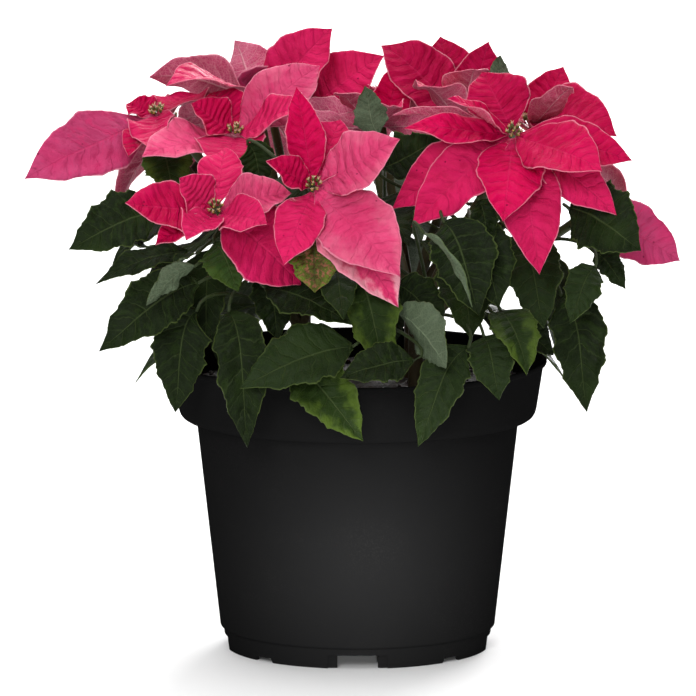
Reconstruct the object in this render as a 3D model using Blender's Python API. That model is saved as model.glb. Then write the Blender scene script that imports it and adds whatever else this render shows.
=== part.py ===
"""A bushy pot-grown poinsettia in its black nursery pot.

Axes: +Z is up, +X is to the right, and -Y points to the viewer of the pot's front.
The origin is on the pot's axis, on the surface that the pot stands on.
Lists of places are written in millimetres and angles in degrees. Meshes are in metres.
"""

import itertools
import math
import random
from dataclasses import dataclass, replace

import bmesh
import bpy
from mathutils import Matrix, Vector
from mathutils.bvhtree import BVHTree

MM = 0.001
UP = Vector((0, 0, 1))
SEED = 21
GOLDEN = 0.618
CLEAR = 0.3

# Pot
POT_HEIGHT = 162
RIM_RADIUS = 105
WALL = 1.6
LIP_HEIGHT = 3
LIP_WIDTH = 2.6
LIP_STEP = 1.6
LIP_EASE = 0.8
BAND_LOW_RADIUS = 99
BAND_LOW_Z = 129
BAND_EASE = 1.6
BAND_RISE = 0.4
BAND_TURN = 2.6
BODY_TOP_RADIUS = 89.4
BODY_LOW_RADIUS = 76.4
STEP_Z = 14
FOOT_RADIUS = 74.4
FOOT_LOW_RADIUS = 73
FOOT_HEIGHT = 11
FOOT_WALL = 2.4
FLOOR_Z = 8.4
POT_SIDES = 32
TUNNELS = 4
TUNNEL_WIDTH = 18
TUNNEL_HEIGHT = 7.6
NOTCH_WIDTH = 14
NOTCH_HEIGHT = 2.6
DRAIN_RADIUS = 5
DRAIN_CIRCLE = 48
HOLE_SIDES = 12

# Compost
SOIL_TOP = 146
SOIL_RELIEF = 1.6
SOIL_EASE = 0.3
SOIL_STEP = ((2.6, 0.7), (0.4, 3.3))
SOIL_SPREAD = 1.2
SOIL_EDGE = 1.5
SOIL_RINGS = (83, 49)
HOLE_DEPTH = 42

# Stems
STEM_RADIUS = 4.6
BRANCH_RADIUS = 3.0
BRANCH_END_RADIUS = 2.4
PETIOLE_RADIUS = 1.0
PETIOLE_DROP = 12
STEM_SIDES = 8
BRANCH_SIDES = 5
BRANCH_STEPS = 3

# Cyathia
CYATHIA_RADIUS = 4.0
CYATHIA_DISC = 2.2
CYATHIA_CUPS = 5
CYATHIA_CUP = 2.6
CYATHIA_STAGGER = 0.6
CYATHIA_INSET = 0.35
CYATHIA_SPREAD = 1.15

# Blades
BLADE = 0.8
SPARE = 0.5
LAYERS = (-1.8, -0.5, 0.8)
ROOT_REACH = 2.4
CORE_RADIUS = 4.4
CORE_LOW = -4
CORE_HIGH = 3
CORE_SIDES = 8
BRACT_OUTLINE = ((0, 0.09), (0.22, 0.72), (0.46, 1.0), (0.77, 0.64), (1, 0))
PLAIN_BRACT = ((0, 0.09), (0.34, 0.96), (0.70, 0.76), (1, 0))
ROOT_TURN = 0.3
LEAF_OUTLINE = ((0, 0.12), (0.17, 0.76), (0.42, 1.0), (0.74, 0.62), (1, 0))
PLAIN_LEAF = ((0, 0.12), (0.30, 0.96), (0.68, 0.70), (1, 0))
BENDS = (0, 4, -4, 8, -8, 12, -12, 17, -17, 23, -23, 30, -30, 38, -38, 46, -46)
SHRINKS = (1.0, 0.86, 0.72, 0.58)


@dataclass(frozen=True)
class Blade:
    """A bract or a leaf: where its tip is, how wide it is and which way its upper side looks."""

    tip: tuple
    width: float
    face: tuple = None
    rise: float = 12
    arch: float = 0.10
    fold: float = 14
    wave: float = 1.6


@dataclass(frozen=True)
class Bloom:
    """A whorl of bracts round its heart: face is the way that it opens, and fill counts its far side's."""

    name: str
    plant: str
    heart: tuple
    face: tuple
    bracts: tuple = ()
    fill: int = 0


@dataclass(frozen=True)
class Leaf:
    """A green leaf of one plant, from the place where its petiole ends."""

    plant: str
    root: tuple
    blade: Blade


# Plants: where each one's stem stands in the compost, and the height of its fork.
PLANTS = {
    "front_left": ((-30, -26), 182),
    "front_right": ((32, -24), 184),
    "back_left": ((-30, 30), 188),
    "back_right": ((30, 32), 186),
}

TO_VIEWER = (0, -0.9, 0.45)
FROM_VIEWER = (0, 0.8, 0.4)

BLOOMS = (
    Bloom("front", "front_left", (-24, -88, 270), (0, -0.78, 0.62), (
        Blade((-40, -126, 233), 28, rise=24, arch=0.12, fold=8),
        Blade((23, -128, 227), 44, rise=20, arch=0.10, fold=8, wave=1.2),
        Blade((22, -108, 207), 40, rise=2, arch=0.06, fold=10),
        Blade((23, -98, 298), 36, fold=12, wave=1.2),
        Blade((-10, -70, 307), 33, fold=26, wave=2.4),
        Blade((1, -62, 305), 16, fold=30, wave=2.6),
        Blade((-33, -58, 304), 22, fold=10),
        Blade((-50, -98, 286), 22, rise=34, fold=30, wave=2.2),
    ), 3),
    Bloom("low_left", "front_left", (-77, -98, 259), (-0.12, -0.76, 0.64), (
        Blade((-126, -118, 266), 33, rise=18, arch=-0.06, fold=10, wave=1.4),
        Blade((-97, -100, 277), 26, fold=18),
        Blade((-93, -128, 247), 25, rise=30, fold=24, wave=2.4),
        Blade((-110, -110, 244), 21, fold=30),
        Blade((-49, -124, 255), 28, rise=30, fold=20, wave=2.2),
        Blade((-40, -100, 274), 29, fold=26),
        Blade((-31, -94, 217), 44, rise=14, fold=10),
    ), 3),
    Bloom("right", "front_right", (85, -58, 295), (0.10, -0.76, 0.64), (
        Blade((79, -100, 253), 38, rise=26, arch=0.14, fold=8),
        Blade((99, -94, 223), 38, rise=22, arch=0.08, fold=12),
        Blade((133, -96, 280), 40, rise=22, arch=0.12, fold=8, wave=1.2),
        Blade((150, -62, 281), 33, fold=12),
        Blade((143, -76, 259), 32, rise=2, fold=12),
        Blade((68, -36, 326), 38, face=(0.1, -0.9, 0.3), fold=18, wave=2.4),
        Blade((29, -50, 323), 18, face=(0.3, 0.5, 0.8), fold=38, wave=2.0),
        Blade((44, -78, 307), 19, face=(0.2, -0.3, 0.9), fold=26),
        Blade((23, -72, 291), 20, rise=6, fold=14, wave=2.2),
        Blade((31, -94, 258), 34, rise=22, fold=14, wave=2.6),
        Blade((17, -68, 260), 34, rise=0, fold=12),
    ), 3),
    Bloom("upper_left", "front_left", (-67, -25, 290), (-0.05, -0.48, 0.86), (
        Blade((-29, -45, 309), 35, fold=12),
        Blade((-118, -62, 283), 38, rise=16, arch=0.10, fold=10),
        Blade((-74, -72, 277), 40, rise=28, arch=0.16, fold=14),
        Blade((-79, 10, 309), 31, face=(0, -0.8, 0.5), fold=12),
        Blade((-93, -22, 304), 31, fold=16),
        Blade((-21, 5, 319), 38, face=(0, -0.7, 0.7), fold=10),
    ), 2),
    Bloom("far_left", "front_left", (-110, 0, 297), (-0.25, -0.36, 0.90), (
        Blade((-183, -36, 267), 41, face=(-0.1, -0.85, 0.5), rise=0, arch=0.05, fold=6, wave=1.0),
        Blade((-126, -34, 279), 22, fold=16),
        Blade((-128, 8, 302), 23, fold=20),
        Blade((-113, -46, 284), 28, rise=24, fold=20, wave=2.2),
    ), 4),
    Bloom("top_left", "back_left", (-55, 42, 301), (-0.10, -0.06, 0.97), (
        Blade((-110, -28, 296), 32, face=(-0.3, -0.7, 0.6), rise=24, arch=0.20, fold=12),
        Blade((-77, 60, 331), 38, face=FROM_VIEWER, rise=4, fold=12),
        Blade((-14, 56, 338), 34, face=(0, -0.85, 0.5), rise=16, fold=14),
        Blade((-116, 46, 312), 36, face=(-0.2, 0.7, 0.5), rise=40, arch=0.23, fold=12),
    ), 4),
    Bloom("top_middle", "back_left", (-33, 72, 292), (0.0, 0.06, 0.97), (
        Blade((5, 54, 325), 36, face=(0, -0.8, 0.6), rise=22, fold=14, wave=2.0),
    ), 6),
    Bloom("centre", "front_right", (10, 40, 286), (0.05, -0.08, 0.97), (
        Blade((-12, 4, 309), 26, rise=24, fold=16),
        Blade((25, 50, 320), 24, face=(0, -0.85, 0.5), rise=12, fold=18),
        Blade((-30, -4, 297), 26, face=(0.2, 0.6, -0.3), fold=16),
        Blade((-36, 18, 301), 26, face=(0.2, 0.6, -0.3), fold=16),
        Blade((18, -8, 303), 26, rise=22, fold=18, wave=2.6),
        Blade((38, -2, 294), 18, face=(0.3, 0.6, -0.2), rise=14, fold=16),
    ), 3),
    Bloom("top_right", "back_right", (58, 28, 293), (0.05, -0.06, 0.97), (
        Blade((13, 44, 330), 38, face=(0, -0.7, 0.7), rise=34, arch=0.20, fold=12),
        Blade((33, -22, 316), 31, rise=30, arch=0.16, fold=18, wave=3.0),
        Blade((64, -24, 309), 30, rise=26, fold=20, wave=2.6),
        Blade((46, 52, 334), 36, face=(0, -0.7, 0.7), rise=12, fold=16),
        Blade((73, 50, 327), 32, face=(0, -0.8, 0.5), rise=12, fold=16),
    ), 4),
    Bloom("far_right", "back_right", (95, 52, 284), (0.18, 0.05, 0.97), (
        Blade((144, 30, 281), 42, face=(0.35, -0.7, 0.6), rise=75, arch=0.34, fold=12),
        Blade((118, 6, 295), 21, rise=10, fold=16),
        Blade((114, 62, 317), 30, face=(0, -0.8, 0.5), rise=10, fold=10),
    ), 4),
    Bloom("low_right", "front_right", (128, -24, 250), (0.60, -0.25, 0.75), (
        Blade((178, -14, 218), 34, face=(0.2, -0.9, 0.3), rise=6, arch=0.06, fold=14),
    ), 5),
    Bloom("back_left", "back_left", (-102, 60, 284), (-0.50, 0.48, 0.72), (), 5),
    Bloom("back_middle", "back_left", (-48, 92, 284), (-0.18, 0.64, 0.74), (), 6),
    Bloom("back_high", "back_right", (14, 84, 296), (0.05, 0.58, 0.80), (), 6),
    Bloom("back_right", "back_right", (70, 90, 280), (0.28, 0.64, 0.72), (), 5),
    Bloom("side_right", "back_right", (124, 50, 264), (0.62, 0.44, 0.64), (), 5),
)

LEAVES = (
    Leaf("front_left", (-109, -58, 252), Blade((-158, -70, 233), 32, face=TO_VIEWER)),
    Leaf("front_left", (-105, -66, 232), Blade((-137, -68, 235), 9, face=UP)),
    Leaf("front_left", (-93, -76, 233), Blade((-143, -84, 216), 17, face=(0, -0.6, 0.8), arch=0.14)),
    Leaf("front_left", (-88, -92, 234), Blade((-107, -102, 221), 9)),
    Leaf("front_left", (-87, -86, 217), Blade((-141, -104, 182), 32, face=TO_VIEWER)),
    Leaf("front_left", (-89, -98, 228), Blade((-117, -112, 210), 13, face=FROM_VIEWER)),
    Leaf("front_left", (-88, -84, 201), Blade((-100, -78, 144), 30, face=TO_VIEWER)),
    Leaf("front_left", (-70, -100, 203), Blade((-60, -116, 131), 29, face=TO_VIEWER, fold=18)),
    Leaf("front_left", (-3, -106, 185), Blade((-64, -124, 165), 36, face=(0, -0.8, 0.6))),
    Leaf("front_left", (-37, -108, 174), Blade((3, -124, 136), 32, face=TO_VIEWER)),
    Leaf("front_left", (-50, -84, 214), Blade((-3, -112, 198), 30, face=(0, -0.7, 0.7))),
    Leaf("front_right", (-4, -84, 226), Blade((15, -110, 174), 34, face=TO_VIEWER, fold=18)),
    Leaf("front_right", (22, -90, 201), Blade((48, -124, 176), 29, face=FROM_VIEWER)),
    Leaf("front_right", (60, -98, 183), Blade((33, -122, 138), 26, face=TO_VIEWER)),
    Leaf("front_right", (69, -92, 188), Blade((77, -112, 155), 26, face=TO_VIEWER)),
    Leaf("front_right", (78, -84, 201), Blade((92, -110, 170), 26, face=(0.2, -0.7, 0.7), arch=0.24)),
    Leaf("front_right", (80, -40, 188), Blade((108, -38, 169), 26, face=(0, -0.7, 0.7))),
    Leaf("front_right", (112, -44, 203), Blade((126, -54, 140), 30, face=TO_VIEWER)),
    Leaf("front_right", (130, -62, 222), Blade((116, -78, 193), 20, face=TO_VIEWER)),
    Leaf("front_right", (116, -58, 254), Blade((155, -68, 232), 40, face=TO_VIEWER)),
    Leaf("front_right", (130, -40, 227), Blade((147, -50, 208), 15, face=TO_VIEWER)),
    Leaf("front_right", (47, -92, 251), Blade((66, -112, 203), 36, face=TO_VIEWER)),
    Leaf("front_right", (63, -88, 246), Blade((77, -108, 208), 30, face=TO_VIEWER)),
    Leaf("front_right", (36, -112, 248), Blade((62, -126, 210), 10, face=(0.7, 0.3, 0.5))),
    Leaf("front_right", (66, -84, 262), Blade((74, -108, 231), 20, face=TO_VIEWER)),
    Leaf("front_right", (120, 6, 276), Blade((156, 2, 259), 36, face=TO_VIEWER)),
    Leaf("front_left", (-108, -10, 280), Blade((-101, -30, 256), 28, face=TO_VIEWER)),
    Leaf("front_left", (-78, -94, 240), Blade((-64, -120, 219), 34, face=(-0.1, -0.7, 0.7), arch=0.18)),
    Leaf("front_left", (-25, -98, 245), Blade((-21, -122, 213), 36, face=(0.1, -0.8, 0.6), arch=0.12)),
    Leaf("front_left", (30, -116, 179), Blade((-10, -127, 171), 24, face=(0, -0.8, 0.6))),
    Leaf("front_right", (21, -88, 216), Blade((48, -94, 197), 26, face=TO_VIEWER)),
    Leaf("front_right", (12, -16, 289), Blade((4, -18, 316), 19, face=(0, 0.9, 0.3))),
    Leaf("back_right", (76, 2, 308), Blade((78, 4, 331), 12, face=(0, 0.9, 0.2))),
    Leaf("front_left", (-14, -62, 234), Blade((-8, -84, 186), 32, face=TO_VIEWER)),
    Leaf("front_left", (-52, -64, 220), Blade((-42, -80, 180), 28, face=TO_VIEWER)),
    Leaf("front_left", (-76, -62, 230), Blade((-84, -80, 184), 24, face=TO_VIEWER)),
    Leaf("front_right", (56, -58, 226), Blade((62, -84, 184), 32, face=TO_VIEWER)),
    Leaf("front_right", (112, -34, 246), Blade((124, -44, 208), 30, face=TO_VIEWER)),
    Leaf("front_right", (88, -44, 238), Blade((102, -62, 188), 32, face=TO_VIEWER)),
    Leaf("front_right", (14, -42, 274), Blade((46, -42, 290), 26, face=TO_VIEWER)),
    Leaf("front_left", (-60, -66, 290), Blade((-52, -70, 266), 20, face=TO_VIEWER)),
)

# The dome that the far side's bracts and leaves stay under, in millimetres.
BACK_REACH = 130
DOME_TOP = 330
DOME_FALL = 0.0016
VIEW_SLOPE = 0.164

# The bracts of a bloom's far side, by angles in degrees, sizes in millimetres and shares of the length.
FILL_TURN = 137.5
FILL_GAP = 35.5
FILL_LENGTH = (44, 60)
FILL_DROOP = (-26, -8)
FILL_WIDTH = (0.54, 0.66)
FILL_FOLD = (8, 20)

# The leaves that the front hides: rings of them round each side of the plant.
# Each is a height, a reach from the pot's axis, a blade length, a count and the angle it starts at.
LEAF_RINGS = (
    (254, 108, 72, 6, -15), (226, 106, 78, 6, -25), (198, 92, 76, 6, -25),
    (256, 50, 66, 4, -90), (234, 80, 74, 4, -90),
)
RING_SWAY = 12
RING_LIFT = 9
RING_DROOP = (0.3, 0.8)
LOW_DROOP = 0.006
RING_WIDTH = (0.50, 0.60)
RING_DEPTH = 0.86


def mm(point):
    """A place in metres, from millimetres."""
    return Vector(point) * MM


def clear_scene():
    """Removes every object that the scene starts with."""
    for thing in list(bpy.data.objects):
        bpy.data.objects.remove(thing, do_unlink=True)


def principled(name, colour, roughness):
    """A plain material of one colour."""
    material = bpy.data.materials.new(name)
    material.use_nodes = True
    shader = material.node_tree.nodes["Principled BSDF"]
    shader.inputs["Base Color"].default_value = (*colour, 1)
    shader.inputs["Roughness"].default_value = roughness
    return material


def add_object(name, bm, material=None):
    """Makes an object of a bmesh, at the origin."""
    mesh = bpy.data.meshes.new(name)
    bm.to_mesh(mesh)
    bm.free()
    thing = bpy.data.objects.new(name, mesh)
    bpy.context.scene.collection.objects.link(thing)
    if material is not None:
        mesh.materials.append(material)
    return thing


def boolean(thing, operation, pieces):
    """Joins or cuts a solid with the pieces, applies the result and removes the pieces."""
    group = bpy.data.collections.new(thing.name + "_pieces")
    bpy.context.scene.collection.children.link(group)
    for piece in pieces:
        group.objects.link(piece)
    modifier = thing.modifiers.new("boolean", "BOOLEAN")
    modifier.operation = operation
    modifier.operand_type = "COLLECTION"
    modifier.collection = group
    modifier.solver = "MANIFOLD"
    depsgraph = bpy.context.evaluated_depsgraph_get()
    mesh = bpy.data.meshes.new_from_object(thing.evaluated_get(depsgraph))
    thing.modifiers.clear()
    thing.data = mesh
    for piece in pieces:
        bpy.data.objects.remove(piece, do_unlink=True)
    bpy.data.collections.remove(group)
    bpy.context.view_layer.update()
    keep_largest_shell(thing)


def keep_largest_shell(thing):
    """Drops the scraps and sealed hollows that a union can leave, and keeps the solid."""
    bm = shell_of(thing)
    waiting = set(bm.verts)
    shells = []
    while waiting:
        stack = [waiting.pop()]
        shell = list(stack)
        while stack:
            vert = stack.pop()
            for edge in vert.link_edges:
                other = edge.other_vert(vert)
                if other in waiting:
                    waiting.remove(other)
                    stack.append(other)
                    shell.append(other)
        shells.append(shell)
    if len(shells) > 1:
        largest = max(shells, key=len)
        scraps = [vert for shell in shells if shell is not largest for vert in shell]
        bmesh.ops.delete(bm, geom=scraps, context="VERTS")
        bm.to_mesh(thing.data)
    bm.free()


def shade_round(thing):
    """Shades a turned piece smooth, with its corners sharp."""
    thing.data.shade_smooth()
    thing.data.set_sharp_from_angle(angle=math.radians(35))


def lathe(profile, sides):
    """Spins a profile of (radius, height) points round Z into a closed solid."""
    bm = bmesh.new()
    verts = [bm.verts.new(mm((radius, 0, z))) for radius, z in profile]
    edges = [bm.edges.new(pair) for pair in zip(verts, verts[1:])]
    bmesh.ops.spin(bm, geom=verts + edges, axis=UP, steps=sides, angle=math.tau, use_merge=True)
    bmesh.ops.remove_doubles(bm, verts=bm.verts[:], dist=0.01 * MM)
    bmesh.ops.recalc_face_normals(bm, faces=bm.faces[:])
    return bm


def box_cutter(name, width, height, start, end, angle):
    """A block that cuts a notch in the foot ring, square to the ring at the given angle."""
    bm = bmesh.new()
    bmesh.ops.create_cube(bm, size=1)
    bmesh.ops.scale(bm, verts=bm.verts[:], vec=mm((end - start, width, height * 2)))
    bmesh.ops.translate(bm, verts=bm.verts[:], vec=mm(((start + end) / 2, 0, 0)))
    bmesh.ops.rotate(bm, verts=bm.verts[:], matrix=Matrix.Rotation(angle, 3, "Z"))
    return add_object(name, bm)


def rod(radius, low, high, place):
    """A straight upright round bar, as a closed bmesh."""
    bm = bmesh.new()
    centre = mm((place[0], place[1], (low + high) / 2))
    bmesh.ops.create_cone(
        bm, cap_ends=True, segments=HOLE_SIDES, radius1=radius * MM, radius2=radius * MM,
        depth=(high - low) * MM, matrix=Matrix.Translation(centre),
    )
    return bm


def wall_profile(inset):
    """The pot's outer line from the foot ring's top to the band's top, moved inwards by inset."""
    low = BAND_LOW_Z + inset
    return [
        (BODY_LOW_RADIUS - inset, STEP_Z),
        (BODY_TOP_RADIUS - inset, low),
        (BAND_LOW_RADIUS - BAND_EASE - inset, low + BAND_RISE),
        (BAND_LOW_RADIUS - inset, low + BAND_TURN),
    ]


def build_pot(material):
    """The moulded pot: foot ring, body, band and rolled lip, with its tunnels and drain holes."""
    lip_low = POT_HEIGHT - LIP_HEIGHT
    outer = [
        (0, FLOOR_Z),
        (FOOT_LOW_RADIUS - FOOT_WALL, FLOOR_Z),
        (FOOT_LOW_RADIUS - FOOT_WALL, 0),
        (FOOT_LOW_RADIUS, 0),
        (FOOT_RADIUS, FOOT_HEIGHT),
        *wall_profile(0),
        (RIM_RADIUS - LIP_STEP, lip_low),
        (RIM_RADIUS, lip_low + LIP_EASE),
        (RIM_RADIUS, POT_HEIGHT - LIP_EASE),
        (RIM_RADIUS - LIP_EASE, POT_HEIGHT),
        (RIM_RADIUS - LIP_WIDTH, POT_HEIGHT),
    ]
    inner = [
        *reversed(wall_profile(WALL)),
        (FOOT_RADIUS - WALL - 0.4, FLOOR_Z + WALL),
        (0, FLOOR_Z + WALL),
    ]
    pot = add_object("pot", lathe(outer + inner, POT_SIDES), material)
    cutters = []
    for index in range(TUNNELS):
        angle = math.tau * index / TUNNELS - math.pi / 2
        half_step = math.pi / TUNNELS
        start = FOOT_LOW_RADIUS - 2 * FOOT_WALL
        end = FOOT_RADIUS + 2
        cutters.append(box_cutter("tunnel", TUNNEL_WIDTH, TUNNEL_HEIGHT, start, end, angle))
        cutters.append(box_cutter("notch", NOTCH_WIDTH, NOTCH_HEIGHT, start, end, angle + half_step))
        place = (DRAIN_CIRCLE * math.cos(angle + half_step), DRAIN_CIRCLE * math.sin(angle + half_step))
        drain = rod(DRAIN_RADIUS, FLOOR_Z - 2, FLOOR_Z + WALL + 2, place)
        cutters.append(add_object("drain", drain))
    boolean(pot, "DIFFERENCE", cutters)
    shade_round(pot)
    return pot


def build_soil(material, holes):
    """The compost, lumpy on top, with a plain hole for each stem. Its side follows the pot's inside."""
    inset = WALL + CLEAR
    low = FLOOR_Z + inset
    profile = [
        (0, low),
        (FOOT_RADIUS - inset - 0.6, low),
        (BODY_LOW_RADIUS - inset, STEP_Z + SOIL_EASE),
        (BODY_TOP_RADIUS - inset, BAND_LOW_Z + inset + SOIL_EASE),
        *[(BAND_LOW_RADIUS - back - inset, BAND_LOW_Z + inset + rise) for back, rise in SOIL_STEP],
        (BAND_LOW_RADIUS + SOIL_SPREAD - inset, SOIL_TOP - SOIL_EDGE),
        *[(radius, SOIL_TOP) for radius in SOIL_RINGS],
        (0, SOIL_TOP),
    ]
    bm = lathe(profile, POT_SIDES // 2)
    draw = random.Random(SEED)
    for vert in bm.verts:
        if vert.co.z > (SOIL_TOP - 0.5) * MM:
            vert.co.z += draw.uniform(-1, 1) * SOIL_RELIEF * MM
    bmesh.ops.triangulate(bm, faces=bm.faces[:])
    soil = add_object("soil", bm, material)
    cutters = []
    radius = STEM_RADIUS + CLEAR
    for place in holes:
        cutters.append(add_object("hole", rod(radius, SOIL_TOP - HOLE_DEPTH, SOIL_TOP + 9, place)))
    boolean(soil, "DIFFERENCE", cutters)
    return soil


def bezier(points, share):
    """A point on a cubic curve and the curve's direction there."""
    a, b, c, d = points
    rest = 1 - share
    place = a * rest**3 + b * (3 * rest * rest * share) + c * (3 * rest * share * share) + d * share**3
    along = (b - a) * rest * rest + (c - b) * (2 * rest * share) + (d - c) * share * share
    return place, along.normalized()


def square_to(vector, along):
    """The unit part of a vector that is square to a direction."""
    part = vector - along * vector.dot(along)
    if part.length < 0.05:
        part = along.orthogonal()
    return part.normalized()


def tube(path, radii, sides):
    """A closed tube along a cubic curve, made by extruding a round face station by station."""
    steps = len(radii) - 1
    bm = bmesh.new()
    bmesh.ops.create_circle(bm, cap_ends=True, segments=sides, radius=1)
    ring = [vert.co.copy() for vert in bm.verts]
    current = list(bm.verts)
    reference = square_to(Vector((0.3, 0.9, 0.2)), (path[3] - path[0]).normalized())
    for step in range(steps + 1):
        if step:
            face = next(f for f in bm.faces if set(f.verts) == set(current))
            made = bmesh.ops.extrude_face_region(bm, geom=[face], use_keep_orig=True)
            fresh = [item for item in made["geom"] if isinstance(item, bmesh.types.BMVert)]
            if step > 1:
                bmesh.ops.delete(bm, geom=[face], context="FACES_ONLY")
            matched = []
            for old in current:
                partner = next(v for v in fresh if (v.co - old.co).length < 1e-9)
                matched.append(partner)
                fresh.remove(partner)
            current = matched
        place, along = bezier(path, step / steps)
        side = square_to(reference, along)
        across = along.cross(side)
        for vert, spot in zip(current, ring):
            vert.co = place + (side * spot.x + across * spot.y) * radii[step] * MM
    bmesh.ops.recalc_face_normals(bm, faces=bm.faces[:])
    return bm


def midrib(blade, root, axis):
    """The blade's midrib as a cubic curve."""
    tip = mm(blade.tip)
    length = (tip - root).length
    along = (tip - root).normalized()
    out = square_to(along, axis)
    normal = square_to(Vector(blade.face), along)
    rise = math.radians(blade.rise)
    leave = (out * math.cos(rise) + axis * math.sin(rise)) * (length * 0.34)
    first = root + leave * 0.55 + along * (length * 0.15)
    second = tip - along * (length * 0.34) + normal * (blade.arch * length)
    return root, first, second, tip


@dataclass(frozen=True)
class Station:
    """One cross-section of a sheet: its middle, frame, half width, edge lifts and thickness."""

    place: Vector
    along: Vector
    normal: Vector
    half: float
    lift: tuple
    thickness: float


def blade_stations(blade, root, axis, outline, phase):
    """The cross-sections of a blade that is folded along its midrib and waved at its edges.

    A bract's root lies flat on its bloom's pad, and the blade turns to its own face from there.
    """
    path = midrib(blade, root, axis)
    face = Vector(blade.face)
    pad = face if axis is UP else axis
    fold = math.radians(blade.fold)
    stations = []
    for share, width in outline:
        place, along = bezier(path, share)
        half = blade.width / 2 * width
        lifts = []
        for side in (-1, 1):
            turn = math.tau * (2.1 * share + phase + 0.3 * side)
            lifts.append(half * math.sin(fold) + math.sin(turn) * blade.wave * math.sin(math.pi * share))
        look = square_to(pad.lerp(face.normalized(), min(1, share / ROOT_TURN)), along)
        stations.append(Station(place, along, look, half * math.cos(fold), tuple(lifts), BLADE))
    return stations


def petiole_stations(start, blade, root):
    """The cross-sections of a petiole from its stem to the blade's root."""
    reach = (root - start).length
    along = (mm(blade.tip) - root).normalized()
    path = (start, start + (root - start) * 0.3 + UP * reach * 0.16, root - along * reach * 0.25, root)
    stations = []
    for share in (0, 0.5):
        place, direction = bezier(path, share)
        normal = square_to(Vector(blade.face), direction)
        stations.append(Station(place, direction, normal, PETIOLE_RADIUS, (0, 0), PETIOLE_RADIUS * 1.6))
    return stations


def sheet(stations, spare=0.0):
    """A closed thin solid through the stations, split into triangles alike on both faces."""
    steps = len(stations) - 1
    bm = bmesh.new()
    bmesh.ops.create_grid(bm, x_segments=steps, y_segments=2, size=1)
    thickness = {}
    for vert in bm.verts:
        station = stations[round((vert.co.x + 1) / 2 * steps)]
        side = round(vert.co.y)
        half = station.half + spare * (station.half > 0)
        lift = station.lift[side > 0] if side else 0
        thickness[vert.index] = station.thickness
        across = station.normal.cross(station.along)
        vert.co = station.place + (across * side * half + station.normal * lift) * MM
    bmesh.ops.remove_doubles(bm, verts=bm.verts[:], dist=0.01 * MM)
    bmesh.ops.triangulate(bm, faces=bm.faces[:])
    bm.normal_update()
    lower = []
    for vert in bm.verts:
        lower.append((vert, vert.co.copy(), vert.normal * (thickness[vert.index] / 2 + spare) * MM))
    made = bmesh.ops.extrude_face_region(bm, geom=bm.faces[:], use_keep_orig=True)
    for vert in made["geom"]:
        if isinstance(vert, bmesh.types.BMVert):
            vert.co += min(lower, key=lambda entry: (entry[1] - vert.co).length_squared)[2]
    for vert, place, offset in lower:
        vert.co -= offset
    bmesh.ops.recalc_face_normals(bm, faces=bm.faces[:])
    return bm


class Clearance:
    """What is already in place, so that a new blade can be bent clear of it."""

    def __init__(self):
        self.placed = []

    def add(self, owner, bm):
        """Keeps a piece's surface and its box under its owner's name."""
        low, high = self.box(bm)
        self.placed.append((owner, BVHTree.FromBMesh(bm), low, high))

    @staticmethod
    def box(bm):
        """The lowest and highest corner of a bmesh."""
        low = [min(vert.co[axis] for vert in bm.verts) for axis in range(3)]
        high = [max(vert.co[axis] for vert in bm.verts) for axis in range(3)]
        return low, high

    def is_free(self, bm, own, only=None):
        """Whether a bmesh touches nothing but what its own owners hold, or nothing of only's outer parts."""
        low, high = self.box(bm)
        tree = BVHTree.FromBMesh(bm)
        for owner, other, other_low, other_high in self.placed:
            if owner in own or owner.startswith("outer_") != (only is not None):
                continue
            if only is not None and owner[len("outer_"):] not in only:
                continue
            if any(low[axis] > other_high[axis] or high[axis] < other_low[axis] for axis in range(3)):
                continue
            if tree.overlap(other):
                return False
        return True


def bent(blade, root, amount, shrink):
    """The blade with its tip moved along its upper side's direction, and perhaps drawn in."""
    tip = Vector(blade.tip)
    start = root / MM
    normal = square_to(Vector(blade.face), (tip - start).normalized())
    moved = start + (tip - start) * shrink + normal * amount
    return replace(blade, tip=tuple(moved), width=blade.width * shrink)


def with_face(blade, root, axis):
    """The blade with the way that it looks filled in."""
    if blade.face is not None:
        return blade
    out = square_to((mm(blade.tip) - root).normalized(), axis)
    return replace(blade, face=tuple(axis + out * 0.5))


def settle(blade, roots, axis, outline, phase, clearance, owners, limit=None, starts=(None,)):
    """The cross-sections of the least bent form of a blade that touches no other piece, or None."""
    blade = with_face(blade, roots[0], axis)
    for shrink, amount in itertools.product(SHRINKS, BENDS):
        for root, start in itertools.product(roots, starts):
            trial = bent(blade, root, amount, shrink)
            if limit is not None and not limit(trial.tip):
                continue
            outer = blade_stations(trial, root, axis, outline, phase)
            stations = outer if start is None else petiole_stations(start, trial, root) + outer
            test = sheet(stations, SPARE)
            free = clearance.is_free(test, owners)
            test.free()
            if free and start is None:
                test = sheet(stations[1:], SPARE / 3)
                free = clearance.is_free(test, (), owners)
                test.free()
            if free:
                return stations
    return None


def bract_roots(heart, face, tip, first):
    """Where a bract can leave its bloom's pad: neighbours leave it at different heights."""
    out = square_to((mm(tip) - heart).normalized(), face)
    turned = LAYERS[first:] + LAYERS[:first]
    return [heart + (out * ROOT_REACH + face * layer) * MM for layer in turned]


def is_inside_dome(tip):
    """Whether a tip stays under the dome that the plant's front shows, and no further back than it."""
    return tip[2] + tip[1] * VIEW_SLOPE < DOME_TOP - DOME_FALL * tip[0] ** 2 and tip[1] < BACK_REACH


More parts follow.
